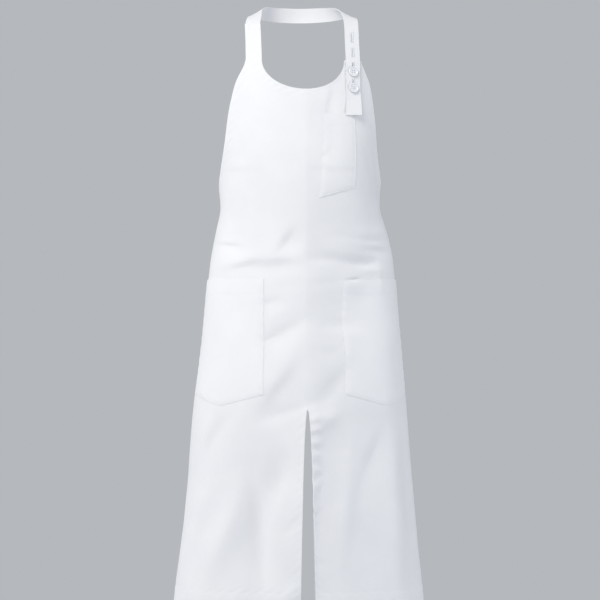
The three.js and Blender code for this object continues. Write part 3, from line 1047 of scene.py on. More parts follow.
@dataclass
class BodyPanel:
    """The bib, split skirt and left shoulder strap, one cloth with turned hems."""

    # Hem widths, and how far the corner at the bib's right end is hemmed down.
    side_hem: float = 11.0
    neck_hem: float = 8.0
    slit_hem: float = 7.0
    bottom_hem: float = 36.0
    corner_depth: float = 40.0
    # What a hem's fold adds behind and in front, the width of its step, and how its stitches pull.
    turned: float = 0.8
    shows: float = 0.35
    hem_step: float = 2.0
    dip: float = 0.45
    seam_inset: float = 1.5
    seam_half: float = 1.3
    # Small puckers along each hem: height, distance inside its fold, reach, wave, slant and wander.
    pucker: float = 0.35
    pucker_inset: float = 2.0
    pucker_half: float = 9.0
    pucker_wave: float = 15.0
    pucker_slant: float = 0.7
    pucker_wander: float = 2.5
    # Longer pulls on the right of the slit: height, wave, slant, wander, and where they start and fade.
    slit_pucker: float = 1.6
    slit_wave: float = 27.0
    slit_slant: float = 0.4
    slit_wander: float = 3.0
    slit_pull_s: float = 13.0
    slit_pull_half: float = 11.0
    slit_pull_top: float = SLIT_TOP - 6
    slit_pull_low: float = -880.0
    slit_pull_fades: tuple[float, float] = (10.0, 160.0)
    # How far stitch lines stop short of an edge, the step between their points, and the neckline's points.
    line_start: float = 4.0
    line_end: float = 3.0
    line_step: float = 2.0
    neck_points: int = 120
    # The grid: lines beside the edges, with columns and rows between them.
    inner_lines: tuple[float, ...] = (0, 1.5, 4.5, 6, 7.5, 9.5)
    outer_lines: tuple[float, ...] = (14, 12.5, 11, 9.5, 8, 1.5, 0)
    middle_columns: int = 71
    crowding: float = 0.62
    hem_lines: tuple[float, ...] = (0, 1.5, 6, 12, 18, 24, 29, 33, 34.5, 36, 37.5, 40)
    neck_lines: tuple[float, ...] = (12, 10.5, 9, 7.5, 6, 1.5, 0)
    neck_share: float = 12 / 17
    bands: tuple[tuple[float, int], ...] = ((SLIT_TOP, 76), (HIP_LINE, 72), (WAIST, 23), (BIB_BASE, 50))
    bib_rows: int = 28
    strap_rows: int = 16

    def row_places(self, z: float) -> Array:
        """Gives the places across the right half at a height.

        Args:
            z: The height.

        Returns:
            Places from the middle to the edge.
        """
        height = np.array([z])
        start, end = slit_half(height)[0], cut_at(height)[0]
        stretch = cut_stretch(height)[0]
        first = start + np.array(self.inner_lines)
        last = end - stretch * np.array(self.outer_lines)
        share = np.linspace(0, 1, self.middle_columns + 2)[1:-1]
        middle = lerp(first[-1], last[0], share * lerp(self.crowding, 1, share))
        return np.concatenate([first, middle, last])

    def body_rows(self) -> Array:
        """Gives the heights of the level rows.

        Returns:
            Heights from the hem to the bib's base.
        """
        rows = [HEM + np.array(self.hem_lines)]
        for top, count in self.bands:
            rows.append(np.linspace(rows[-1][-1], top, count + 1)[1:])
        return np.concatenate(rows)

    def bib_grid(self, neck_half: float) -> tuple[Array, Array, int]:
        """Works out half of the upper bib, a patch between the neckline and the armhole.

        Args:
            neck_half: The neckline's reach on that side.

        Returns:
            Places across and up, and the column where the neckline meets the strap.
        """
        base = self.row_places(BIB_BASE)
        low_cut, top_cut = base[-1], cut_at(np.array([BIB_TOP]))[0]
        u = base / low_cut
        corner = int(np.argmin(np.abs(u - self.neck_share)))
        share = u[corner]
        angle = np.minimum(u / share, 1) * math.pi / 2
        on_strap = np.clip((u - share) / (1 - share), 0, 1)
        top_s = np.where(u <= share, neck_half * np.sin(angle), lerp(neck_half, top_cut, on_strap))
        top_z = np.where(u <= share, lerp(BIB_TOP, NECKLINE_LOW, np.cos(angle)), BIB_TOP)
        length = np.hypot(top_s - base, top_z - BIB_BASE)
        plain = np.linspace(0, 1, self.bib_rows + 1)[:, None] * (1 - self.neck_lines[0] / length)
        hemmed = 1 - np.array(self.neck_lines[1:])[:, None] / length
        v = np.concatenate([plain, hemmed])
        edge_z = lerp(BIB_BASE, BIB_TOP, v)
        edge_s = cut_at(edge_z.ravel()).reshape(edge_z.shape)
        s = lerp(u * low_cut, top_s, v) + u * (edge_s - lerp(low_cut, top_cut, v))
        level = lerp(lerp(BIB_BASE, NECKLINE_LOW, v), edge_z, u)
        z = lerp(BIB_BASE, top_z, v) + level - lerp(BIB_BASE, lerp(NECKLINE_LOW, BIB_TOP, u), v)
        return s, z, corner

    def grid(self) -> tuple[Array, Array, Array]:
        """Lays out both halves and the left strap on the flat cloth.

        Returns:
            The places across, the places up, and the quads that index them.
        """
        cloth = ClothGrid()
        rows = self.body_rows()
        body_s = np.stack([self.row_places(z) for z in rows])
        body_z = np.repeat(rows[:, None], body_s.shape[1], axis=1)
        right_s, right_z, _ = self.bib_grid(NECKLINE_RIGHT)
        left_s, left_z, corner = self.bib_grid(NECKLINE_LEFT)
        for s, z in ((body_s, body_z), (right_s, right_z)):
            cloth.add(s, z)
        for s, z in ((body_s, body_z), (left_s, left_z)):
            cloth.add(-s[:, ::-1], z[:, ::-1])
        rise = np.linspace(BIB_TOP, STRAP_SEAM, self.strap_rows + 1)
        top = left_s[-1, corner:]
        share = (top - top[0]) / (top[-1] - top[0])
        strap_s = lerp(NECKLINE_LEFT, cut_at(rise)[:, None], share[None, :])
        strap_z = np.repeat(rise[:, None], len(share), axis=1)
        cloth.add(-strap_s[:, ::-1], strap_z)
        return cloth.weld()

    def hem_reach(self, s: Array, z: Array) -> list[tuple[Array, float]]:
        """Gives the distance from each hemmed edge.

        Args:
            s: Places across the cloth.
            z: Places up the cloth.

        Returns:
            For each edge, the distances from it and the width of its hem.
        """
        reach = np.abs(s)
        outer = (cut_at(z) - reach) / cut_stretch(z)
        slit = np.where(z < SLIT_TOP, reach - slit_half(z), np.hypot(reach, z - SLIT_TOP) + self.slit_hem)
        half = np.where(s < 0, NECKLINE_LEFT, NECKLINE_RIGHT)
        oval = np.hypot(s / half, (z - BIB_TOP) / (BIB_TOP - NECKLINE_LOW))
        slope = np.hypot(s / half**2, (z - BIB_TOP) / (BIB_TOP - NECKLINE_LOW) ** 2)
        below = (oval - 1) * oval / np.maximum(slope, TINY)
        neck = np.where(z < BIB_TOP, below, reach - half)
        at_corner = (s > NECKLINE_RIGHT - 1) & (z > BIB_TOP - self.corner_depth)
        corner = np.where(at_corner, BIB_TOP - z, FAR_OFF)
        return [
            (outer, self.side_hem),
            (slit, self.slit_hem),
            (z - HEM, self.bottom_hem),
            (neck, self.neck_hem),
            (corner, self.neck_hem),
        ]

    def relief(self, s: Array, z: Array) -> tuple[Array, Array]:
        """Gives what hems and seams add to the front and to the back of the cloth.

        Args:
            s: Places across the cloth.
            z: Places up the cloth.

        Returns:
            The front's and the back's extra height.
        """
        doubled = np.zeros_like(s)
        seam = np.zeros_like(s)
        ripple = np.zeros_like(s)
        for reach, width in self.hem_reach(s, z):
            doubled = np.maximum(doubled, 1 - step_up(reach, width, self.hem_step))
            seam = np.maximum(seam, ridge(reach, width - self.seam_inset, self.seam_half))
            ripple = np.maximum(ripple, ridge(reach, width - self.pucker_inset, self.pucker_half))
        wander = self.pucker_wander * Crumple(*HEM_NOISE).at(s, z)
        wave = np.sin((z + self.pucker_slant * np.abs(s)) * 2 * math.pi / self.pucker_wave + wander)
        start, end = self.slit_pull_fades
        pulled = ridge(s, self.slit_pull_s, self.slit_pull_half) * step_up(-z, -self.slit_pull_top, start)
        pulled = pulled * (1 - step_up(-z, -self.slit_pull_low, end))
        wander = self.slit_wander * Crumple(*SLIT_NOISE).at(s, z)
        pulls = np.sin((z - self.slit_slant * s) * 2 * math.pi / self.slit_wave + wander)
        wavy = self.pucker * ripple * wave + self.slit_pucker * pulled * pulls
        return self.shows * doubled - self.dip * seam + wavy, self.turned * doubled - wavy

    def front_lift(self, s: Array, z: Array) -> Array:
        """Gives the height of the front face over the cloth's middle."""
        return CLOTH / 2 + self.relief(s, z)[0]

    def build(self) -> tuple[bpy.types.Object, float]:
        """Makes the panel.

        Returns:
            The object and its flat area in square metres.
        """
        s, z, quads = self.grid()
        front, back = self.relief(s, z)
        normals, middle = FORM.normals(s, z), FORM.points(s, z)
        outer = middle + normals * (CLOTH / 2 + front)[:, None]
        inner = middle - normals * (CLOTH / 2 + back)[:, None]
        panel = wall_mesh("panel_cloth", outer, inner, quads, np.stack([s, z], axis=1))
        return panel, flat_area(s, z, quads)

    def seam_lines(self) -> list[tuple[Array, Array]]:
        """Gives the stitch lines on the flat cloth.

        Returns:
            For each line, its places across and up.
        """
        lines = []
        end, step = self.line_end, self.line_step
        for side, top in ((Side.LEFT, STRAP_SEAM), (Side.RIGHT, BIB_TOP)):
            z = np.arange(HEM + self.line_start, top - end, step)
            lines.append((side.value * (cut_at(z) - (self.side_hem - self.seam_inset) * cut_stretch(z)), z))
            z = np.arange(HEM + self.line_start, SLIT_TOP - step, step)
            lines.append((side.value * (slit_half(z) + self.slit_hem - self.seam_inset), z))
            s = np.arange(SLIT_HALF + end, cut_at(np.array([HEM]))[0] - end, step)
            lines.append((side.value * s, np.full_like(s, HEM + self.bottom_hem - self.seam_inset)))
        turn = np.radians(np.linspace(-90, 90, self.neck_points))
        inset = self.neck_hem - self.seam_inset
        half = np.where(turn < 0, NECKLINE_LEFT, NECKLINE_RIGHT)
        drop = BIB_TOP - NECKLINE_LOW + inset
        lines.append(((half + inset) * np.sin(turn), BIB_TOP - drop * np.cos(turn)))
        z = np.arange(BIB_TOP, STRAP_SEAM - end, step)
        lines.append((np.full_like(z, -NECKLINE_LEFT - inset), z))
        return lines

    def stitch(self) -> bpy.types.Object:
        """Makes the hem stitches.

        Returns:
            The stitches as one object.
        """
        rows = Stitching()
        for s, z in self.seam_lines():
            rows.along(FORM.layer(s, z, self.front_lift(s, z)), FORM.normals(s, z))
        return rows.build("panel_stitching")

    def dress(self, finishes: Finishes, strap: bpy.types.Object) -> bpy.types.Object:
        """Builds the panel and its hem stitches, and gives them their finishes.

        Args:
            finishes: The shared materials.
            strap: What the panel hangs from; not used.

        Returns:
            The panel.
        """
        panel, area = self.build()
        dress_piece(panel, finishes.cloth, Slot.CLOTH, "body_panel")
        stitching = self.stitch()
        dress_piece(stitching, finishes.thread, Slot.CLOTH)
        return panel


PANEL = BodyPanel()


@dataclass
class PatchPocket:
    """A patch pocket sewn on three sides, with a wide mouth hem, a little proud of the panel."""

    name: str
    node: str
    # Corners at the bottom left, bottom right, mouth left and mouth right.
    corners: tuple[tuple[float, float], tuple[float, float], tuple[float, float], tuple[float, float]]
    # Thickness of the left, right and bottom edge, the reach of their blend, and the least thickness.
    lips: tuple[float, float, float]
    lip_blend: float = 0.3
    least: float = 0.05
    # A thin pocket takes the panel's own finish.
    thin: bool = False
    # The bottom's point and how blunt it is, the mouth's hem, and the seam's distance from the edge.
    point: float = 0.0
    blunt: float = 0.1
    mouth_hem: float = 30.0
    seam: float = 2.2
    # How far the middle and the mouth stand off, and how fast the mouth's part falls.
    puff: float = 1.0
    gape: float = 0.5
    gape_fall: float = 20.0
    # Clearance at the seams, and the room inside them with its place and width.
    clear: float = 0.05
    room: float = 0.4
    room_reach: tuple[float, float] = (4.0, 8.0)
    # Where an edge comes to full thickness and over what width, for a soft and for a crisp edge.
    soft_rise: tuple[float, float] = (7.5, 15.0)
    crisp_rise: tuple[float, float] = (1.5, 3.0)
    # The mouth hem's fold, the pull of the side seams, and the pull of the hem's seam.
    hem_shows: float = 0.2
    hem_step: float = 2.0
    seam_dip: float = 0.25
    seam_half: float = 0.9
    hem_dip: float = 0.3
    hem_inset: float = 1.5
    hem_half: float = 1.2
    # Puckers beside the seams: height, wave, slant, wander, and their place and reach.
    pucker: float = 0.3
    pucker_wave: float = 17.0
    pucker_slant: float = 0.8
    pucker_wander: float = 2.2
    pucker_reach: tuple[float, float] = (7.0, 8.0)
    # The grid: lines at the seams, at the hem's seam and at the mouth, and cells from the inner line on.
    edge_lines: tuple[float, ...] = (0, 1.2, 2.2, 3.4, 5.5, 8.5)
    hem_lines: tuple[float, ...] = (-2, 0, 1.5, 3, 7)
    mouth_lines: tuple[float, ...] = (17, 12, 8, 4, 1.2, 0)
    inner_line: float = 12.0
    cell: float = 3.6
    # Points along a stitch line, and the share that the hem's line stops short of the sides.
    line_points: int = 160
    line_end: float = 0.02

    def place(self, u: Array, v: Array) -> tuple[Array, Array]:
        """Gives places on the cloth.

        Args:
            u: Shares from left to right.
            v: Shares from the bottom to the mouth.

        Returns:
            The places across and up.
        """
        (ls, lz), (rs, rz), (tls, tlz), (trs, trz) = self.corners
        low_s = lerp(ls, rs, u)
        low_z = lerp(lz, rz, u) - self.point * (1 - np.hypot(2 * u - 1, self.blunt))
        return lerp(low_s, lerp(tls, trs, u), v), lerp(low_z, lerp(tlz, trz, u), v)

    def sizes(self) -> tuple[float, float]:
        """Gives the pocket's width and greatest height."""
        (ls, lz), (rs, rz), (tls, tlz), (trs, trz) = self.corners
        return max(rs - ls, trs - tls), max(tlz, trz) - min(lz, rz) + self.point

    def shares(self) -> tuple[Array, Array]:
        """Gives the grid's shares, with close lines at the seams.

        Returns:
            The shares across and up.
        """
        width, height = self.sizes()
        edge = np.array(self.edge_lines)
        across = np.concatenate([edge, np.arange(self.inner_line, width / 2, self.cell)]) / width
        top = np.concatenate([self.mouth_hem - np.array(self.hem_lines), self.mouth_lines])
        up = np.arange(self.inner_line, height - top[0] - 1, self.cell)
        u = np.concatenate([across, 1 - across[::-1]])
        v = np.concatenate([edge, up, height - top]) / height
        return np.unique(u), np.unique(v)

    def lip(self, left: Array, right: Array, low: Array) -> Array:
        """Gives the thickness of the sewn edge that is nearest, blended round the corners."""
        near = [1 / (reach + self.lip_blend) ** 2 for reach in (left, right, low)]
        return sum(weight * thick for weight, thick in zip(near, self.lips)) / sum(near)

    def relief(self, u: Array, v: Array) -> tuple[Array, Array]:
        """Gives the heights of the pocket's front and back over the panel's middle.

        Args:
            u: Shares from left to right.
            v: Shares from the bottom to the mouth.

        Returns:
            The front's and the back's height.
        """
        width, height = self.sizes()
        left, right, low, down = u * width, (1 - u) * width, v * height, (1 - v) * height
        edge = np.minimum(np.minimum(left, right), low)
        s, z = self.place(u, v)
        arch = np.sin(math.pi * u)
        swell = self.puff * arch * np.sin(math.pi * np.clip(v, 0, 1))
        swell = swell + self.gape * arch * np.exp(-((down / self.gape_fall) ** 2))
        turned = self.hem_shows * (1 - step_up(down, self.mouth_hem, self.hem_step))
        lip = self.lip(left, right, low)
        crisp = np.clip(lip / CLOTH, 0, 1)
        at, over = (lerp(soft, hard, crisp) for soft, hard in zip(self.soft_rise, self.crisp_rise))
        rise = step_up(edge, at, over)
        dips = self.seam_dip * crisp * ridge(edge, self.seam, self.seam_half)
        dips = dips + self.hem_dip * ridge(down, self.mouth_hem - self.hem_inset, self.hem_half)
        wander = self.pucker_wander * Crumple(*POCKET_NOISE).at(s, z)
        wave = np.sin((z + self.pucker_slant * s) * 2 * math.pi / self.pucker_wave + wander)
        ripple = self.pucker * wave * ridge(edge, *self.pucker_reach)
        back = CLOTH / 2 + self.clear + self.room * step_up(edge, *self.room_reach) + swell
        thick = lerp(lip, CLOTH, rise) + turned - dips + ripple
        return back + np.maximum(thick, self.least), back

    def build(self) -> tuple[bpy.types.Object, float]:
        """Makes the pocket.

        Returns:
            The object and its flat area in square metres.
        """
        share_u, share_v = self.shares()
        cloth = ClothGrid()
        cloth.add(*np.meshgrid(share_u, share_v))
        u, v, quads = cloth.weld()
        s, z = self.place(u, v)
        front, back = self.relief(u, v)
        normals, middle = FORM.normals(s, z), FORM.points(s, z)
        outer, inner = middle + normals * front[:, None], middle + normals * back[:, None]
        pocket = wall_mesh(self.name, outer, inner, quads, np.stack([s, z], axis=1))
        return pocket, flat_area(s, z, quads)

    def stitch(self) -> bpy.types.Object:
        """Makes the stitches round the sewn sides and along the mouth hem.

        Returns:
            The stitches as one object.
        """
        width, height = self.sizes()
        rows = Stitching()
        fine = np.linspace(0, 1, self.line_points)
        side, low = self.seam / width, self.seam / height
        left, right, base = (np.full_like(fine, share) for share in (side, 1 - side, low))
        round_u = np.concatenate([left, lerp(side, 1 - side, fine), right])
        round_v = np.concatenate([lerp(1 - low, low, fine), base, lerp(low, 1 - low, fine)])
        self.stitch_line(rows, round_u, round_v)
        hem = np.full_like(fine, 1 - (self.mouth_hem - self.hem_inset) / height)
        self.stitch_line(rows, lerp(self.line_end, 1 - self.line_end, fine), hem)
        return rows.build(self.name.replace("_cloth", "_stitching"))

    def stitch_line(self, rows: Stitching, u: Array, v: Array) -> None:
        """Adds a row of stitches along shares of the pocket."""
        s, z = self.place(u, v)
        rows.along(FORM.layer(s, z, self.relief(u, v)[0]), FORM.normals(s, z))

    def dress(self, finishes: Finishes, panel: bpy.types.Object) -> None:
        """Builds the pocket and its stitches, and gives them their finishes.

        Args:
            finishes: The shared materials.
            panel: What the pocket is sewn on; not used.
        """
        cloth, area = self.build()
        finish = finishes.cloth if self.thin else finishes.double_cloth
        dress_piece(cloth, finish, Slot.CLOTH, self.node)
        stitching = self.stitch()
        dress_piece(stitching, finishes.thread, Slot.CLOTH)


def spline(points: Array, t: Array) -> Array:
    """Gives points on a centripetal Catmull-Rom curve.

    Args:
        points: The curve's stations.
        t: Shares from the first to the last station.

    Returns:
        A point for each share.
    """
    ends = np.concatenate([[2 * points[0] - points[1]], points, [2 * points[-1] - points[-2]]])
    place = np.clip(t, 0, 1) * (len(points) - 1)
    i = np.minimum(place.astype(int), len(points) - 2)
    w = (place - i)[:, None]
    a, b, c, d = (ends[i + k] for k in range(4))
    gaps = [np.sqrt(np.linalg.norm(q - p, axis=1, keepdims=True)) for p, q in ((a, b), (b, c), (c, d))]
    before = ((b - a) / gaps[0] - (c - a) / (gaps[0] + gaps[1]) + (c - b) / gaps[1]) * gaps[1]
    after = ((c - b) / gaps[1] - (d - b) / (gaps[1] + gaps[2]) + (d - c) / gaps[2]) * gaps[1]
    bend = -3 * b + 3 * c - 2 * before - after
    return b + before * w + bend * w**2 + (2 * b - 2 * c + before + after) * w**3


# A narrow band's turned edge: its extra height, how far past the seam it goes, and the width of its step.
BAND_TURN = 0.25
BAND_TURN_PAST = 1.5
BAND_TURN_STEP = 2.5

# How deep a narrow band's seam pulls, and half of the pull's width.
BAND_DIP = 0.4
BAND_DIP_HALF = 0.9


def band_relief(edge: Array, seam: float) -> Array:
    """Gives a narrow band's extra height in front.

    Args:
        edge: Distances from the nearer edge.
        seam: The seam's distance from the edge.

    Returns:
        The height at each distance.
    """
    turned = BAND_TURN * (1 - step_up(edge, seam + BAND_TURN_PAST, BAND_TURN_STEP))
    return turned - BAND_DIP * ridge(edge, seam, BAND_DIP_HALF)


@dataclass(frozen=True)
class FrontStation:
    """A station of the strap's free end: height, lift off the form, the outer edge's extra, and shift."""

    z: float
    lift: float
    tilt: float
    shift: float = 0.0


@dataclass(frozen=True)
class LoopStation:
    """A station of the neck loop: its middle, and the dip of the strap's width from level to upright."""

    x: float
    y: float
    z: float
    dip: float


@dataclass
class NeckStrap:
    """The strap with buttonholes, from its free end on the bib round the loop to the left seam."""

    # The width, and the place, lift and tilt of the free end where it is buttoned.
    width: float = 26.5
    middle_s: float = 87.0
    lift: float = 3.6
    tilt: float = 1.5
    # The end behind the left seam: its middle, its lap, and how far it lies behind the form.
    seam_s: float = 91.0
    seam_lap: float = 20.0
    seam_drop: float = LAYER + 0.8
    front: tuple[FrontStation, ...] = (
        FrontStation(z=-193, lift=8.2, tilt=4.3, shift=-3.5),
        FrontStation(z=-168, lift=5, tilt=3.3, shift=-0.5),
        FrontStation(z=-144, lift=3.6, tilt=1.5),
        FrontStation(z=-115, lift=3.6, tilt=1.5),
        FrontStation(z=-88, lift=3.2, tilt=1.2),
        FrontStation(z=-60, lift=1, tilt=0.5),
        FrontStation(z=-34, lift=0, tilt=0),
    )
    loop: tuple[LoopStation, ...] = (
        LoopStation(86, -113, -15, 12),
        LoopStation(81, -88, -5, 28),
        LoopStation(70, -54, -1, 48),
        LoopStation(52, -25, 0, 68),
        LoopStation(27, -6, 0, 83),
        LoopStation(0, CLOTH / 2, 0, 90),
    )
    # The grid: lines from each edge to the buttonholes, steps along the strap, and the share a slope is over.
    lines: tuple[float, ...] = (0, 1.0, 2.2, 3.4, 5.5, 8, 10.5, 12.6)
    steps: int = 300
    slope_step: float = 1e-3
    # The seam's distance from the edge, the shares between which it runs, and its points.
    seam: float = 2.4
    seam_run: tuple[float, float] = (0.006, 0.994)
    seam_points: int = 900
    # Buttonholes: the lowest one's end, their spacing, count and length, and the points that find them.
    hole_low: float = -146.0
    hole_step: float = 29.0
    hole_count: int = 4
    hole_length: float = 20.0
    hole_points: int = 4000
    # The satin stitches round a buttonhole: distance from its middle, length, height and count on a side.
    satin_near: float = 0.8
    satin_length: float = 2.8
    satin_rise: float = 0.2
    satin_count: int = 26

    def __post_init__(self) -> None:
        """Works out the stations of the strap's two edges."""
        self.near, self.far = self.edge(-self.width / 2), self.edge(self.width / 2)

    @staticmethod
    def loop_point(station: LoopStation, side: Side, reach: float) -> list[float]:
        """Gives a point on the loop.

        Args:
            station: The station that it is at.
            side: The loop's side that it is on.
            reach: Its distance outwards from the loop's middle.

        Returns:
            The point, in millimetres.
        """
        dip = math.radians(station.dip)
        across = side.value * (station.x + reach * math.cos(dip))
        return [across, station.y, station.z - reach * math.sin(dip)]

    def edge(self, reach: float) -> Array:
        """Gives the stations of a line along the strap.

        Args:
            reach: The line's distance outwards from the strap's middle.

        Returns:
            Points from the free end to the left seam.
        """
        front_z = np.array([station.z for station in self.front], float)
        share = 2 * reach / self.width
        lifts = np.array([station.lift + share * station.tilt for station in self.front], float)
        shifts = np.array([station.shift for station in self.front], float)
        front = FORM.layer(self.middle_s + reach + shifts, front_z, lifts)
        right = [self.loop_point(station, Side.RIGHT, reach) for station in self.loop]
        left = [self.loop_point(station, Side.LEFT, reach) for station in reversed(self.loop[:-1])]
        seam_z = np.array([STRAP_SEAM, STRAP_SEAM - self.seam_lap])
        seam = FORM.layer(np.full_like(seam_z, -self.seam_s - reach), seam_z, -self.seam_drop)
        return np.concatenate([front, right, left, seam])

    def surface(self, t: Array, share: Array) -> tuple[Array, Array]:
        """Gives points on the strap.

        Args:
            t: Shares along the strap from its free end.
            share: Shares across it from its inner edge.

        Returns:
            The points and their outward normals.
        """
        step = self.slope_step
        left, right = spline(self.near, t), spline(self.far, t)
        ahead = spline(self.near, t + step) + spline(self.far, t + step)
        behind = spline(self.near, t - step) + spline(self.far, t - step)
        out = np.cross(right - left, ahead - behind)
        out /= np.linalg.norm(out, axis=1, keepdims=True)
        return left + (right - left) * share[:, None], out

    def hole_spans(self, t: Array) -> list[Array]:
        """Finds the buttonholes.

        Args:
            t: Shares along the strap.

        Returns:
            For each buttonhole, which of the shares lie in it.
        """
        points, _ = self.surface(t, np.full_like(t, 0.5))
        reach = run_lengths(points)
        low_point = FORM.layer(np.array([self.middle_s]), np.array([self.hole_low]), self.lift)[0]
        first = reach[int(np.argmin(np.linalg.norm(points - low_point, axis=1)))]
        spans = []
        for k in range(self.hole_count):
            low = first + k * self.hole_step
            spans.append((reach >= low) & (reach <= low + self.hole_length))
        return spans

    def build(self) -> tuple[bpy.types.Object, float]:
        """Makes the strap.

        Returns:
            The object and its length in metres.
        """
        half = np.array(self.lines) / self.width
        share = np.concatenate([half, 1 - half[::-1]])
        along = np.linspace(0, 1, self.steps + 1)
        grid_u, grid_t = np.meshgrid(share, along)
        keep = np.ones((self.steps, len(share) - 1), bool)
        for span in self.hole_spans(along):
            inside = span[:-1] & span[1:]
            keep[inside, len(half) - 1] = False
        cloth = ClothGrid()
        cloth.add(grid_u * self.width, grid_t * SHARE_SCALE, keep)
        across, far, quads = cloth.weld()
        t, u = far / SHARE_SCALE, across / self.width
        points, out = self.surface(t, u)
        front = CLOTH / 2 + band_relief(np.minimum(across, self.width - across), self.seam)
        middle = spline((self.near + self.far) / 2, along)
        length = float(np.linalg.norm(np.diff(middle, axis=0), axis=1).sum())
        flat = np.stack([across, t * length], axis=1)
        outer, inner = points + out * front[:, None], points - out * CLOTH / 2
        return wall_mesh("strap_cloth", outer, inner, quads, flat), length * MM

    def stitch(self) -> bpy.types.Object:
        """Makes the edge stitches and the satin stitches round the buttonholes.

        Returns:
            The stitches as one object.
        """
        rows = Stitching()
        along = np.linspace(*self.seam_run, self.seam_points)
        lift = CLOTH / 2 + band_relief(np.array([self.seam]), self.seam)[0]
        for share in (self.seam / self.width, 1 - self.seam / self.width):
            points, out = self.surface(along, np.full_like(along, share))
            rows.along(points + out * lift, out)
        fine = np.linspace(0, 0.5, self.hole_points)
        for span in self.hole_spans(fine):
            self.bind_hole(rows, fine[span])
        return rows.build("strap_stitching")

    def bind_hole(self, rows: Stitching, t: Array) -> None:
        """Adds close stitches down both lips of a buttonhole.

        Args:
            rows: The strap's stitches.
            t: Shares along the strap that lie in the buttonhole.
        """
        t = np.linspace(t[0], t[-1], self.satin_count)
        for side in Side:
            ends = []
            for reach in (self.satin_near, self.satin_near + self.satin_length):
                share = np.full_like(t, 0.5 + side.value * reach / self.width)
                points, out = self.surface(t, share)
                ends.append(points + out * (CLOTH / 2 + self.satin_rise))
            rows.bars(ends[0], ends[1], out)

    def dress(self, finishes: Finishes) -> bpy.types.Object:
        """Builds the strap and its stitches, and gives them their finishes.

        Args:
            finishes: The shared materials.

        Returns:
            The strap.
        """
        strap, length = self.build()
        dress_piece(strap, finishes.cloth, Slot.CLOTH, "neck_strap")
        stitching = self.stitch()
        dress_piece(stitching, finishes.thread, Slot.CLOTH)
        return strap


STRAP = NeckStrap()


@dataclass(frozen=True)
class KnotShape:
    """The knot's half sizes, and the shares of them by which its cloth swells and dips."""

    half: tuple[float, float, float] = (17.0, 9.0, 13.0)
    ball: float = 0.86
    # The band that crosses it: slant in x and z, half width, swell, and the dips between its folds.
    band_slant: tuple[float, float] = (0.86, 0.5)
    band_half: float = 0.36
    band: float = 0.16
    band_dip: float = 0.04
    band_folds: float = 14.0
    # The pleats beside the band: slant, count and dip.
    pleat_slant: float = 0.4
    pleats: float = 7.0
    pleat_dip: float = 0.05
    rings: int = 36
    sides: int = 64


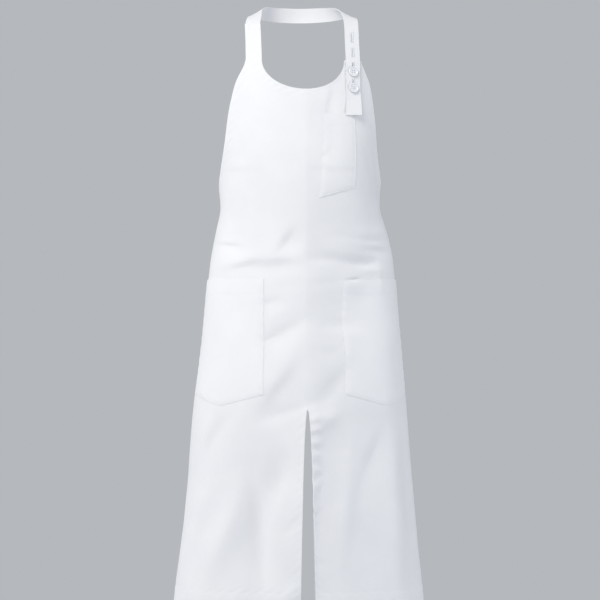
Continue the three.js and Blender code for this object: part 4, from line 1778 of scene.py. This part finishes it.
@dataclass
class WaistTies:
    """Two ties from the panel's waist corners round the back, and the knot with its tails."""

    # The width, the upper edge's height, where a tie starts, and where it comes to lie on the form.
    width: float = 25.0
    top: float = -426.0
    start: float = 266.0
    settle: float = 40.0
    knot_shape: KnotShape = KnotShape()
    # The share of the knot's half width by which a tie stops short of its middle.
    knot_reach: float = 0.6
    # A tail's length, its swing to the side and backwards, and the share of its run where it starts.
    tail: float = 280.0
    splay: float = 38.0
    fall: float = 12.0
    tail_start: float = 0.03
    # A tail's waves: height and turns, and how far its edges curl.
    tail_wave: float = 1.6
    tail_turns: float = 6.5
    tail_curl: float = 1.2
    # The grid: lines from each edge, and steps along a tie and a tail; the seam is measured from the edge.
    lines: tuple[float, ...] = (0, 1.0, 2.2, 3.4, 6, 9, 12.5)
    tie_steps: int = 44
    tail_steps: int = 60
    seam: float = 2.4

    def across_lines(self) -> Array:
        """Gives the grid's lines across a tie."""
        half = np.array(self.lines)
        return np.unique(np.concatenate([half, self.width - half]))

    def relief(self, across: Array) -> Array:
        """Gives the outer face's extra height at places across a tie."""
        return band_relief(np.minimum(across, self.width - across), self.seam)

    def lift(self, s: Array) -> Array:
        """Gives how far a tie lies off the form, behind the panel first.

        Args:
            s: Places along the tie, measured on the cloth.

        Returns:
            The lift at each place.
        """
        edge = cut_at(np.array([self.top]))[0]
        t = np.clip((np.abs(s) - edge - GAP) / (self.settle - GAP), 0, 1)
        return -LAYER * (1 - t * t * (3 - 2 * t))

    def tie(self, side: Side, name: str) -> tuple[bpy.types.Object, float]:
        """Makes one tie.

        Args:
            side: The tie's side.
            name: The piece's name.

        Returns:
            The object and its length in metres.
        """
        girth = FORM.half_girth(side.value, self.top - self.width / 2)
        end = girth - self.knot_reach * self.knot_shape.half[0]
        s_line = np.linspace(self.start, end, self.tie_steps)
        if side is Side.LEFT:
            s_line = -s_line[::-1]
        cloth = ClothGrid()
        cloth.add(*np.meshgrid(s_line, self.top - self.width + self.across_lines()))
        s, z, quads = cloth.weld()
        normals, middle = FORM.normals(s, z), FORM.points(s, z)
        lift = self.lift(s)
        outer = middle + normals * (lift + CLOTH / 2 + self.relief(z - self.top + self.width))[:, None]
        inner = middle + normals * (lift - CLOTH / 2)[:, None]
        flat = np.stack([z, s], axis=1)
        return wall_mesh(name, outer, inner, quads, flat), (end - self.start) * MM

    def centre(self) -> Array:
        """Gives the knot's middle.

        Returns:
            The point, in millimetres.
        """
        height = self.top - self.width / 2
        back = DrapedForm.AXIS_Y + FORM.column("front", np.array([height]))[0]
        lifted = FORM.points(np.array([self.start]), np.array([height]))[0, 2]
        return np.array([0.0, back, lifted])

    def tail_piece(self, side: Side, name: str) -> tuple[bpy.types.Object, float]:
        """Makes one hanging tail.

        Args:
            side: The tail's side.
            name: The piece's name.

        Returns:
            The object and its length in metres.
        """
        centre = self.centre()
        sign = side.value
        t_line = np.linspace(self.tail_start, 1, self.tail_steps)
        cloth = ClothGrid()
        cloth.add(*np.meshgrid(self.across_lines(), t_line * SHARE_SCALE))
        across, far, quads = cloth.weld()
        down = far / SHARE_SCALE
        t = down[:, None]
        reach = across - self.width / 2
        zero = np.zeros_like(reach)
        top = centre + np.stack([-reach / 2, zero + sign * CLOTH, zero], axis=1)
        mid = centre + np.stack([sign * self.splay - reach, zero + self.fall, zero - self.tail / 2], axis=1)
        low = centre + np.stack([sign * self.splay - reach, zero + self.fall, zero - self.tail], axis=1)
        points = (1 - t) ** 2 * top + 2 * t * (1 - t) * mid + t**2 * low
        waves = self.tail_wave * np.sin(self.tail_turns * down + sign) * down
        points[:, 1] += waves + self.tail_curl * down * (reach / (self.width / 2)) ** 2
        slope = 2 * (1 - t) * (mid - top) + 2 * t * (low - mid)
        out = np.cross(np.array([-1.0, 0, 0]), slope)
        out /= np.linalg.norm(out, axis=1, keepdims=True)
        out *= np.sign(out[:, 1:2])
        front = CLOTH / 2 + self.relief(across)
        outer, inner = points + out * front[:, None], points - out * CLOTH / 2
        flat = np.stack([across, down * self.tail], axis=1)
        turned = quads if self.turns_out(points, quads) else quads[:, ::-1]
        return wall_mesh(name, outer, inner, turned, flat), self.tail * MM

    @staticmethod
    def turns_out(points: Array, quads: Array) -> bool:
        """Says whether the quads face backwards, to the outside."""
        a, b, c = (points[quads[:, k]] for k in (0, 1, 2))
        return float(np.cross(b - a, c - b)[:, 1].sum()) > 0

    def knot(self) -> bpy.types.Object:
        """Makes the knot: a ball of wrapped cloth with a band across it.

        Returns:
            The new object.
        """
        shape = self.knot_shape
        down = np.linspace(0, math.pi, shape.rings + 1)
        about = np.linspace(0, 2 * math.pi, shape.sides + 1)
        polar, turn = np.meshgrid(down, about)
        ball = np.stack([np.sin(polar) * np.cos(turn), np.sin(polar) * np.sin(turn), np.cos(polar)], axis=-1)
        x, z = ball[..., 0], ball[..., 2]
        slant = x * shape.band_slant[0] + z * shape.band_slant[1]
        band = np.exp(-((slant / shape.band_half) ** 4))
        pleats = np.abs(np.sin(shape.pleats * (z - shape.pleat_slant * x)))
        swell = shape.ball + shape.band * band - shape.pleat_dip * (1 - pleats) * (1 - band)
        swell = swell - shape.band_dip * np.cos(shape.band_folds * slant) * band
        points = self.centre() + ball * swell[..., None] * np.array(shape.half)
        bm = bmesh.new()
        grid = [[bm.verts.new(Vector(point * MM)) for point in row] for row in points]
        for i in range(shape.sides):
            for j in range(shape.rings):
                bm.faces.new((grid[i][j], grid[i][j + 1], grid[i + 1][j + 1], grid[i + 1][j]))
        bmesh.ops.remove_doubles(bm, verts=bm.verts, dist=TINY)
        bmesh.ops.recalc_face_normals(bm, faces=bm.faces)
        layer = bm.loops.layers.uv.new("cloth")
        for face in bm.faces:
            face.smooth = True
            for corner in face.loops:
                corner[layer].uv = (corner.vert.co.x, corner.vert.co.z)
        mesh = bpy.data.meshes.new("knot_cloth")
        bm.to_mesh(mesh)
        bm.free()
        return add_piece(mesh)

    def dress(self, finishes: Finishes, panel: bpy.types.Object) -> None:
        """Builds the knot, the ties and the tails, and gives them their finish.

        Args:
            finishes: The shared materials.
            panel: What the ties are sewn to; not used.
        """
        knot = self.knot()
        dress_piece(knot, finishes.cloth, Slot.CLOTH, "waist_knot")
        for side in Side:
            word = side.name.lower()
            tie, length = self.tie(side, f"tie_{word}_cloth")
            dress_piece(tie, finishes.cloth, Slot.CLOTH, f"waist_tie_{word}")
            tail, length = self.tail_piece(side, f"tail_{word}_cloth")
            dress_piece(tail, finishes.cloth, Slot.CLOTH, "waist_knot")


@dataclass
class ShirtButton:
    """A four-hole button with a raised rim, sewn through its holes."""

    name: str
    node: str
    z: float
    # The blank, its rounded edges, and the angle over which an edge looks sharp.
    radius: float = 9.0
    height: float = 3.2
    sides: int = 56
    edge_round: float = 0.8
    edge_steps: int = 4
    sharp: float = 35.0
    # The rim's width, the slope inside it with its depth, and the small step at the dish's foot.
    rim: float = 1.9
    slope: float = 1.1
    dish: float = 1.0
    foot: float = 0.5
    foot_dip: float = 0.12
    # How level the top face is, and how near the blank's height.
    level: float = 0.99
    top_slack: float = 0.01
    # The holes' radius, their distance from the middle, their angles, and their sides.
    hole: float = 0.95
    hole_reach: float = 2.4
    hole_turns: tuple[float, ...] = (45.0, 135.0, 225.0, 315.0)
    hole_sides: int = 20
    # Thread: its size, how far strands lie apart on the face and in the shank, and the shank's top.
    thread: Stitch = Stitch(width=0.75, height=0.9, sunk=0.3)
    strands: tuple[float, ...] = (-0.4, 0.0, 0.4)
    shank: tuple[float, ...] = (-0.5, 0.5)
    shank_top: float = 0.2

    def seat(self) -> Matrix:
        """Gives the button's place on the tilted strap.

        Returns:
            The place's matrix, in metres.
        """
        tilt = Matrix.Rotation(-math.atan(2 * STRAP.tilt / STRAP.width), 4, "Y")
        raised = Matrix.Translation((0, 0, (CLOTH / 2 + GAP) * MM))
        return FORM.seat(STRAP.middle_s, self.z, STRAP.lift) @ tilt @ raised

    def build(self) -> bpy.types.Object:
        """Models the button from a cylinder: a dished face, a rounded rim and four drilled holes.

        Returns:
            The new object.
        """
        bpy.ops.object.select_all(action="DESELECT")
        bpy.ops.mesh.primitive_cylinder_add(
            vertices=self.sides,
            radius=self.radius * MM,
            depth=self.height * MM,
            location=(0, 0, self.height * MM / 2),
        )
        piece = bpy.context.object
        piece.name = self.name
        bpy.ops.object.transform_apply(location=True)
        bpy.ops.object.mode_set(mode="EDIT")
        bpy.ops.mesh.select_mode(type="EDGE")
        bpy.ops.mesh.select_all(action="DESELECT")
        bm = bmesh.from_edit_mesh(piece.data)
        for edge in bm.edges:
            if abs(edge.verts[0].co.z - edge.verts[1].co.z) < TINY:
                edge.select_set(True)
        bm.select_flush_mode()
        bmesh.update_edit_mesh(piece.data)
        bpy.ops.mesh.bevel(offset=self.edge_round * MM, segments=self.edge_steps, profile=0.5)
        self.select_top(piece)
        bpy.ops.mesh.inset(thickness=(self.rim - self.edge_round) * MM)
        bpy.ops.mesh.inset(thickness=self.slope * MM, depth=-self.dish * MM)
        bpy.ops.mesh.inset(thickness=self.foot * MM, depth=-self.foot_dip * MM)
        bpy.ops.mesh.select_all(action="SELECT")
        bpy.ops.mesh.remove_doubles(threshold=TINY)
        bpy.ops.mesh.normals_make_consistent(inside=False)
        bpy.ops.object.mode_set(mode="OBJECT")
        for turn in self.hole_turns:
            self.drill(piece, math.radians(turn))
        piece.data.transform(self.seat())
        bpy.ops.object.select_all(action="DESELECT")
        piece.select_set(True)
        bpy.context.view_layer.objects.active = piece
        bpy.ops.object.shade_smooth_by_angle(angle=math.radians(self.sharp))
        return piece

    def select_top(self, piece: bpy.types.Object) -> None:
        """Selects the flat top face in edit mode.

        Args:
            piece: The button.
        """
        bpy.ops.mesh.select_all(action="DESELECT")
        bm = bmesh.from_edit_mesh(piece.data)
        for face in bm.faces:
            high = face.calc_center_median().z > (self.height - self.top_slack) * MM
            if high and face.normal.z > self.level:
                face.select_set(True)
        bmesh.update_edit_mesh(piece.data)

    def drill(self, piece: bpy.types.Object, turn: float) -> None:
        """Cuts one thread hole.

        Args:
            piece: The button.
            turn: The hole's angle round the button's middle.
        """
        bpy.ops.object.select_all(action="DESELECT")
        place = (self.hole_reach * MM * math.cos(turn), self.hole_reach * MM * math.sin(turn), 0)
        bpy.ops.mesh.primitive_cylinder_add(
            vertices=self.hole_sides,
            radius=self.hole * MM,
            depth=4 * self.height * MM,
            location=place,
        )
        cutter = bpy.context.object
        cut = piece.modifiers.new("thread_hole", "BOOLEAN")
        cut.operation = "DIFFERENCE"
        cut.solver = "EXACT"
        cut.object = cutter
        bpy.ops.object.select_all(action="DESELECT")
        bpy.context.view_layer.objects.active = piece
        bpy.ops.object.modifier_apply(modifier=cut.name)
        bpy.data.objects.remove(cutter, do_unlink=True)

    def sew(self) -> bpy.types.Object:
        """Makes the thread: strands between two pairs of holes and a shank under the button.

        Returns:
            The thread as one object.
        """
        rows = Stitching(self.thread)
        turn = np.array(self.seat().to_3x3())
        place = np.array(self.seat().translation) / MM
        face = self.height - self.dish - self.foot_dip
        half = self.hole_reach * math.cos(math.radians(self.hole_turns[0]))
        for y in (-half, half):
            for shift in self.strands:
                ends = np.array([[-half, y + shift, face], [half, y + shift, face]]) @ turn.T + place
                rows.bars(ends[:1], ends[1:], turn[:, 2][None, :])
        for shift in self.shank:
            ends = np.array([[shift, 0, self.shank_top], [shift, 0, -STRAP.lift]]) @ turn.T + place
            rows.bars(ends[:1], ends[1:], turn[:, 0][None, :])
        return rows.build(self.name.replace("face", "thread"))

    def dress(self, finishes: Finishes) -> None:
        """Builds the button and its thread, and gives them their finishes."""
        dress_piece(self.build(), finishes.button, Slot.BUTTON, self.node)
        dress_piece(self.sew(), finishes.thread, Slot.CLOTH)


@dataclass(frozen=True)
class Lamp:
    """A square soft light, with its place and the height of its aim from the middle of the view."""

    name: str
    place: tuple[float, float, float]
    aim_z: float
    size: float
    watts: float
    colour: str


@dataclass
class Studio:
    """The camera at the photograph's angle, soft light from the front and from behind, and a pale floor."""

    # The camera, in degrees, metres and, for the sensor, millimetres.
    turn: float = -5.5
    distance: float = 5.0
    eye_z: float = -0.5184
    frame_height: float = 1.08
    sensor: float = 36.0
    clip_end: float = 50.0
    # The floor, below the frame, and the even surround.
    floor_z: float = -1.28
    floor_radius: float = 1.5
    floor_sides: int = 96
    surround: str = "#B5B8BC"
    lamps: tuple[Lamp, ...] = (
        Lamp("key_light", (-0.84, -1.46, 1.51), aim_z=0.1, size=1.0, watts=24.0, colour="#FFFDFA"),
        Lamp("side_light", (-2.56, -0.45, 0), aim_z=0, size=1.4, watts=15.9, colour="#FFFFFF"),
        Lamp("fill_light", (2.13, -1.49, 0), aim_z=0, size=1.4, watts=15.2, colour="#F6F9FF"),
        Lamp("back_light", (-0.2, 2.6, 0.9), aim_z=0, size=1.2, watts=18.0, colour="#FFFFFF"),
    )

    def axis(self) -> Vector:
        """Gives the middle of the view."""
        return Vector((0, DrapedForm.AXIS_Y * MM, self.eye_z))

    def place_camera(self) -> None:
        """Adds the camera."""
        data = bpy.data.cameras.new("camera")
        data.sensor_width = self.sensor
        data.lens = self.sensor * self.distance / self.frame_height
        data.clip_end = self.clip_end
        camera = bpy.data.objects.new("camera", data)
        turn = math.radians(self.turn)
        camera.location = self.axis() + self.distance * Vector((math.sin(turn), -math.cos(turn), 0))
        camera.rotation_euler = (math.pi / 2, 0, turn)
        bpy.context.scene.collection.objects.link(camera)
        bpy.context.scene.camera = camera

    def add_light(self, lamp: Lamp) -> None:
        """Adds a light that faces the apron.

        Args:
            lamp: The light's place, aim, size, power and colour.
        """
        data = bpy.data.lights.new(lamp.name, "AREA")
        data.size = lamp.size
        data.energy = lamp.watts
        data.color = linear(lamp.colour)[:3]
        light = bpy.data.objects.new(lamp.name, data)
        place, aim = Vector(lamp.place), Vector((0, 0, lamp.aim_z))
        light.location = self.axis() + place
        light.rotation_euler = (aim - place).to_track_quat("-Z", "Y").to_euler()
        bpy.context.scene.collection.objects.link(light)

    def light(self) -> None:
        """Adds the lights and the even pale surround."""
        for lamp in self.lamps:
            self.add_light(lamp)
        world = bpy.data.worlds.new("surround")
        world.use_nodes = True
        back = world.node_tree.nodes["Background"]
        back.inputs["Color"].default_value = linear(self.surround)
        back.inputs["Strength"].default_value = 1.0
        bpy.context.scene.world = world
        bpy.context.scene.view_settings.view_transform = "Standard"

    def lay_floor(self, material: bpy.types.Material) -> None:
        """Adds the floor disc under the apron.

        Args:
            material: The floor's finish.
        """
        bpy.ops.object.select_all(action="DESELECT")
        bpy.ops.mesh.primitive_circle_add(
            vertices=self.floor_sides, radius=self.floor_radius, fill_type="NGON"
        )
        floor = bpy.context.object
        floor.name = "floor"
        floor.location = (0, DrapedForm.AXIS_Y * MM, self.floor_z)
        floor.data.materials.append(material)


# The ties lift the cloth at the sides, so a hip mouth that hangs level is cut lower at its outer end.
HIP_MOUTH = -481.0
HIP_OUTER_MOUTH = -511.0
HIP_CORNER = -684.0
HIP_POINT = 22.0

POCKETS: tuple[PatchPocket, ...] = (
    PatchPocket(
        name="chest_pocket_cloth",
        node="chest_pocket",
        corners=((22, -338), (87, -319.5), (31, -188.5), (88.5, -188.5)),
        lips=(0.1, 1.6, 1.1),
        thin=True,
        mouth_hem=27,
        puff=0.4,
        gape=0.3,
    ),
    PatchPocket(
        name="hip_pocket_left_cloth",
        node="hip_pocket_left",
        corners=((-239, HIP_CORNER), (-75, HIP_CORNER), (-239, HIP_OUTER_MOUTH), (-75, HIP_MOUTH)),
        lips=(0.4, 1.1, 0.9),
        point=HIP_POINT,
    ),
    PatchPocket(
        name="hip_pocket_right_cloth",
        node="hip_pocket_right",
        corners=((68, HIP_CORNER), (232, HIP_CORNER), (68, HIP_MOUTH), (232, HIP_OUTER_MOUTH)),
        lips=(0.6, 0.4, 0.9),
        point=HIP_POINT,
    ),
)

BUTTONS: tuple[ShirtButton, ...] = (
    ShirtButton(name="button_upper_face", node="button_upper", z=-115),
    ShirtButton(name="button_lower_face", node="button_lower", z=-144),
)


def main() -> None:
    """Places the camera, builds the apron's pieces in order, then adds the light and the floor."""
    logging.basicConfig(level=logging.INFO, format="%(name)s: %(message)s")
    finishes = make_finishes()
    studio = Studio()
    studio.place_camera()
    strap = STRAP.dress(finishes)
    for button in BUTTONS:
        button.dress(finishes)
    panel = PANEL.dress(finishes, strap)
    for pocket in POCKETS:
        pocket.dress(finishes, panel)
    WaistTies().dress(finishes, panel)
    studio.light()
    studio.lay_floor(finishes.floor)


if __name__ == "__main__":
    main()
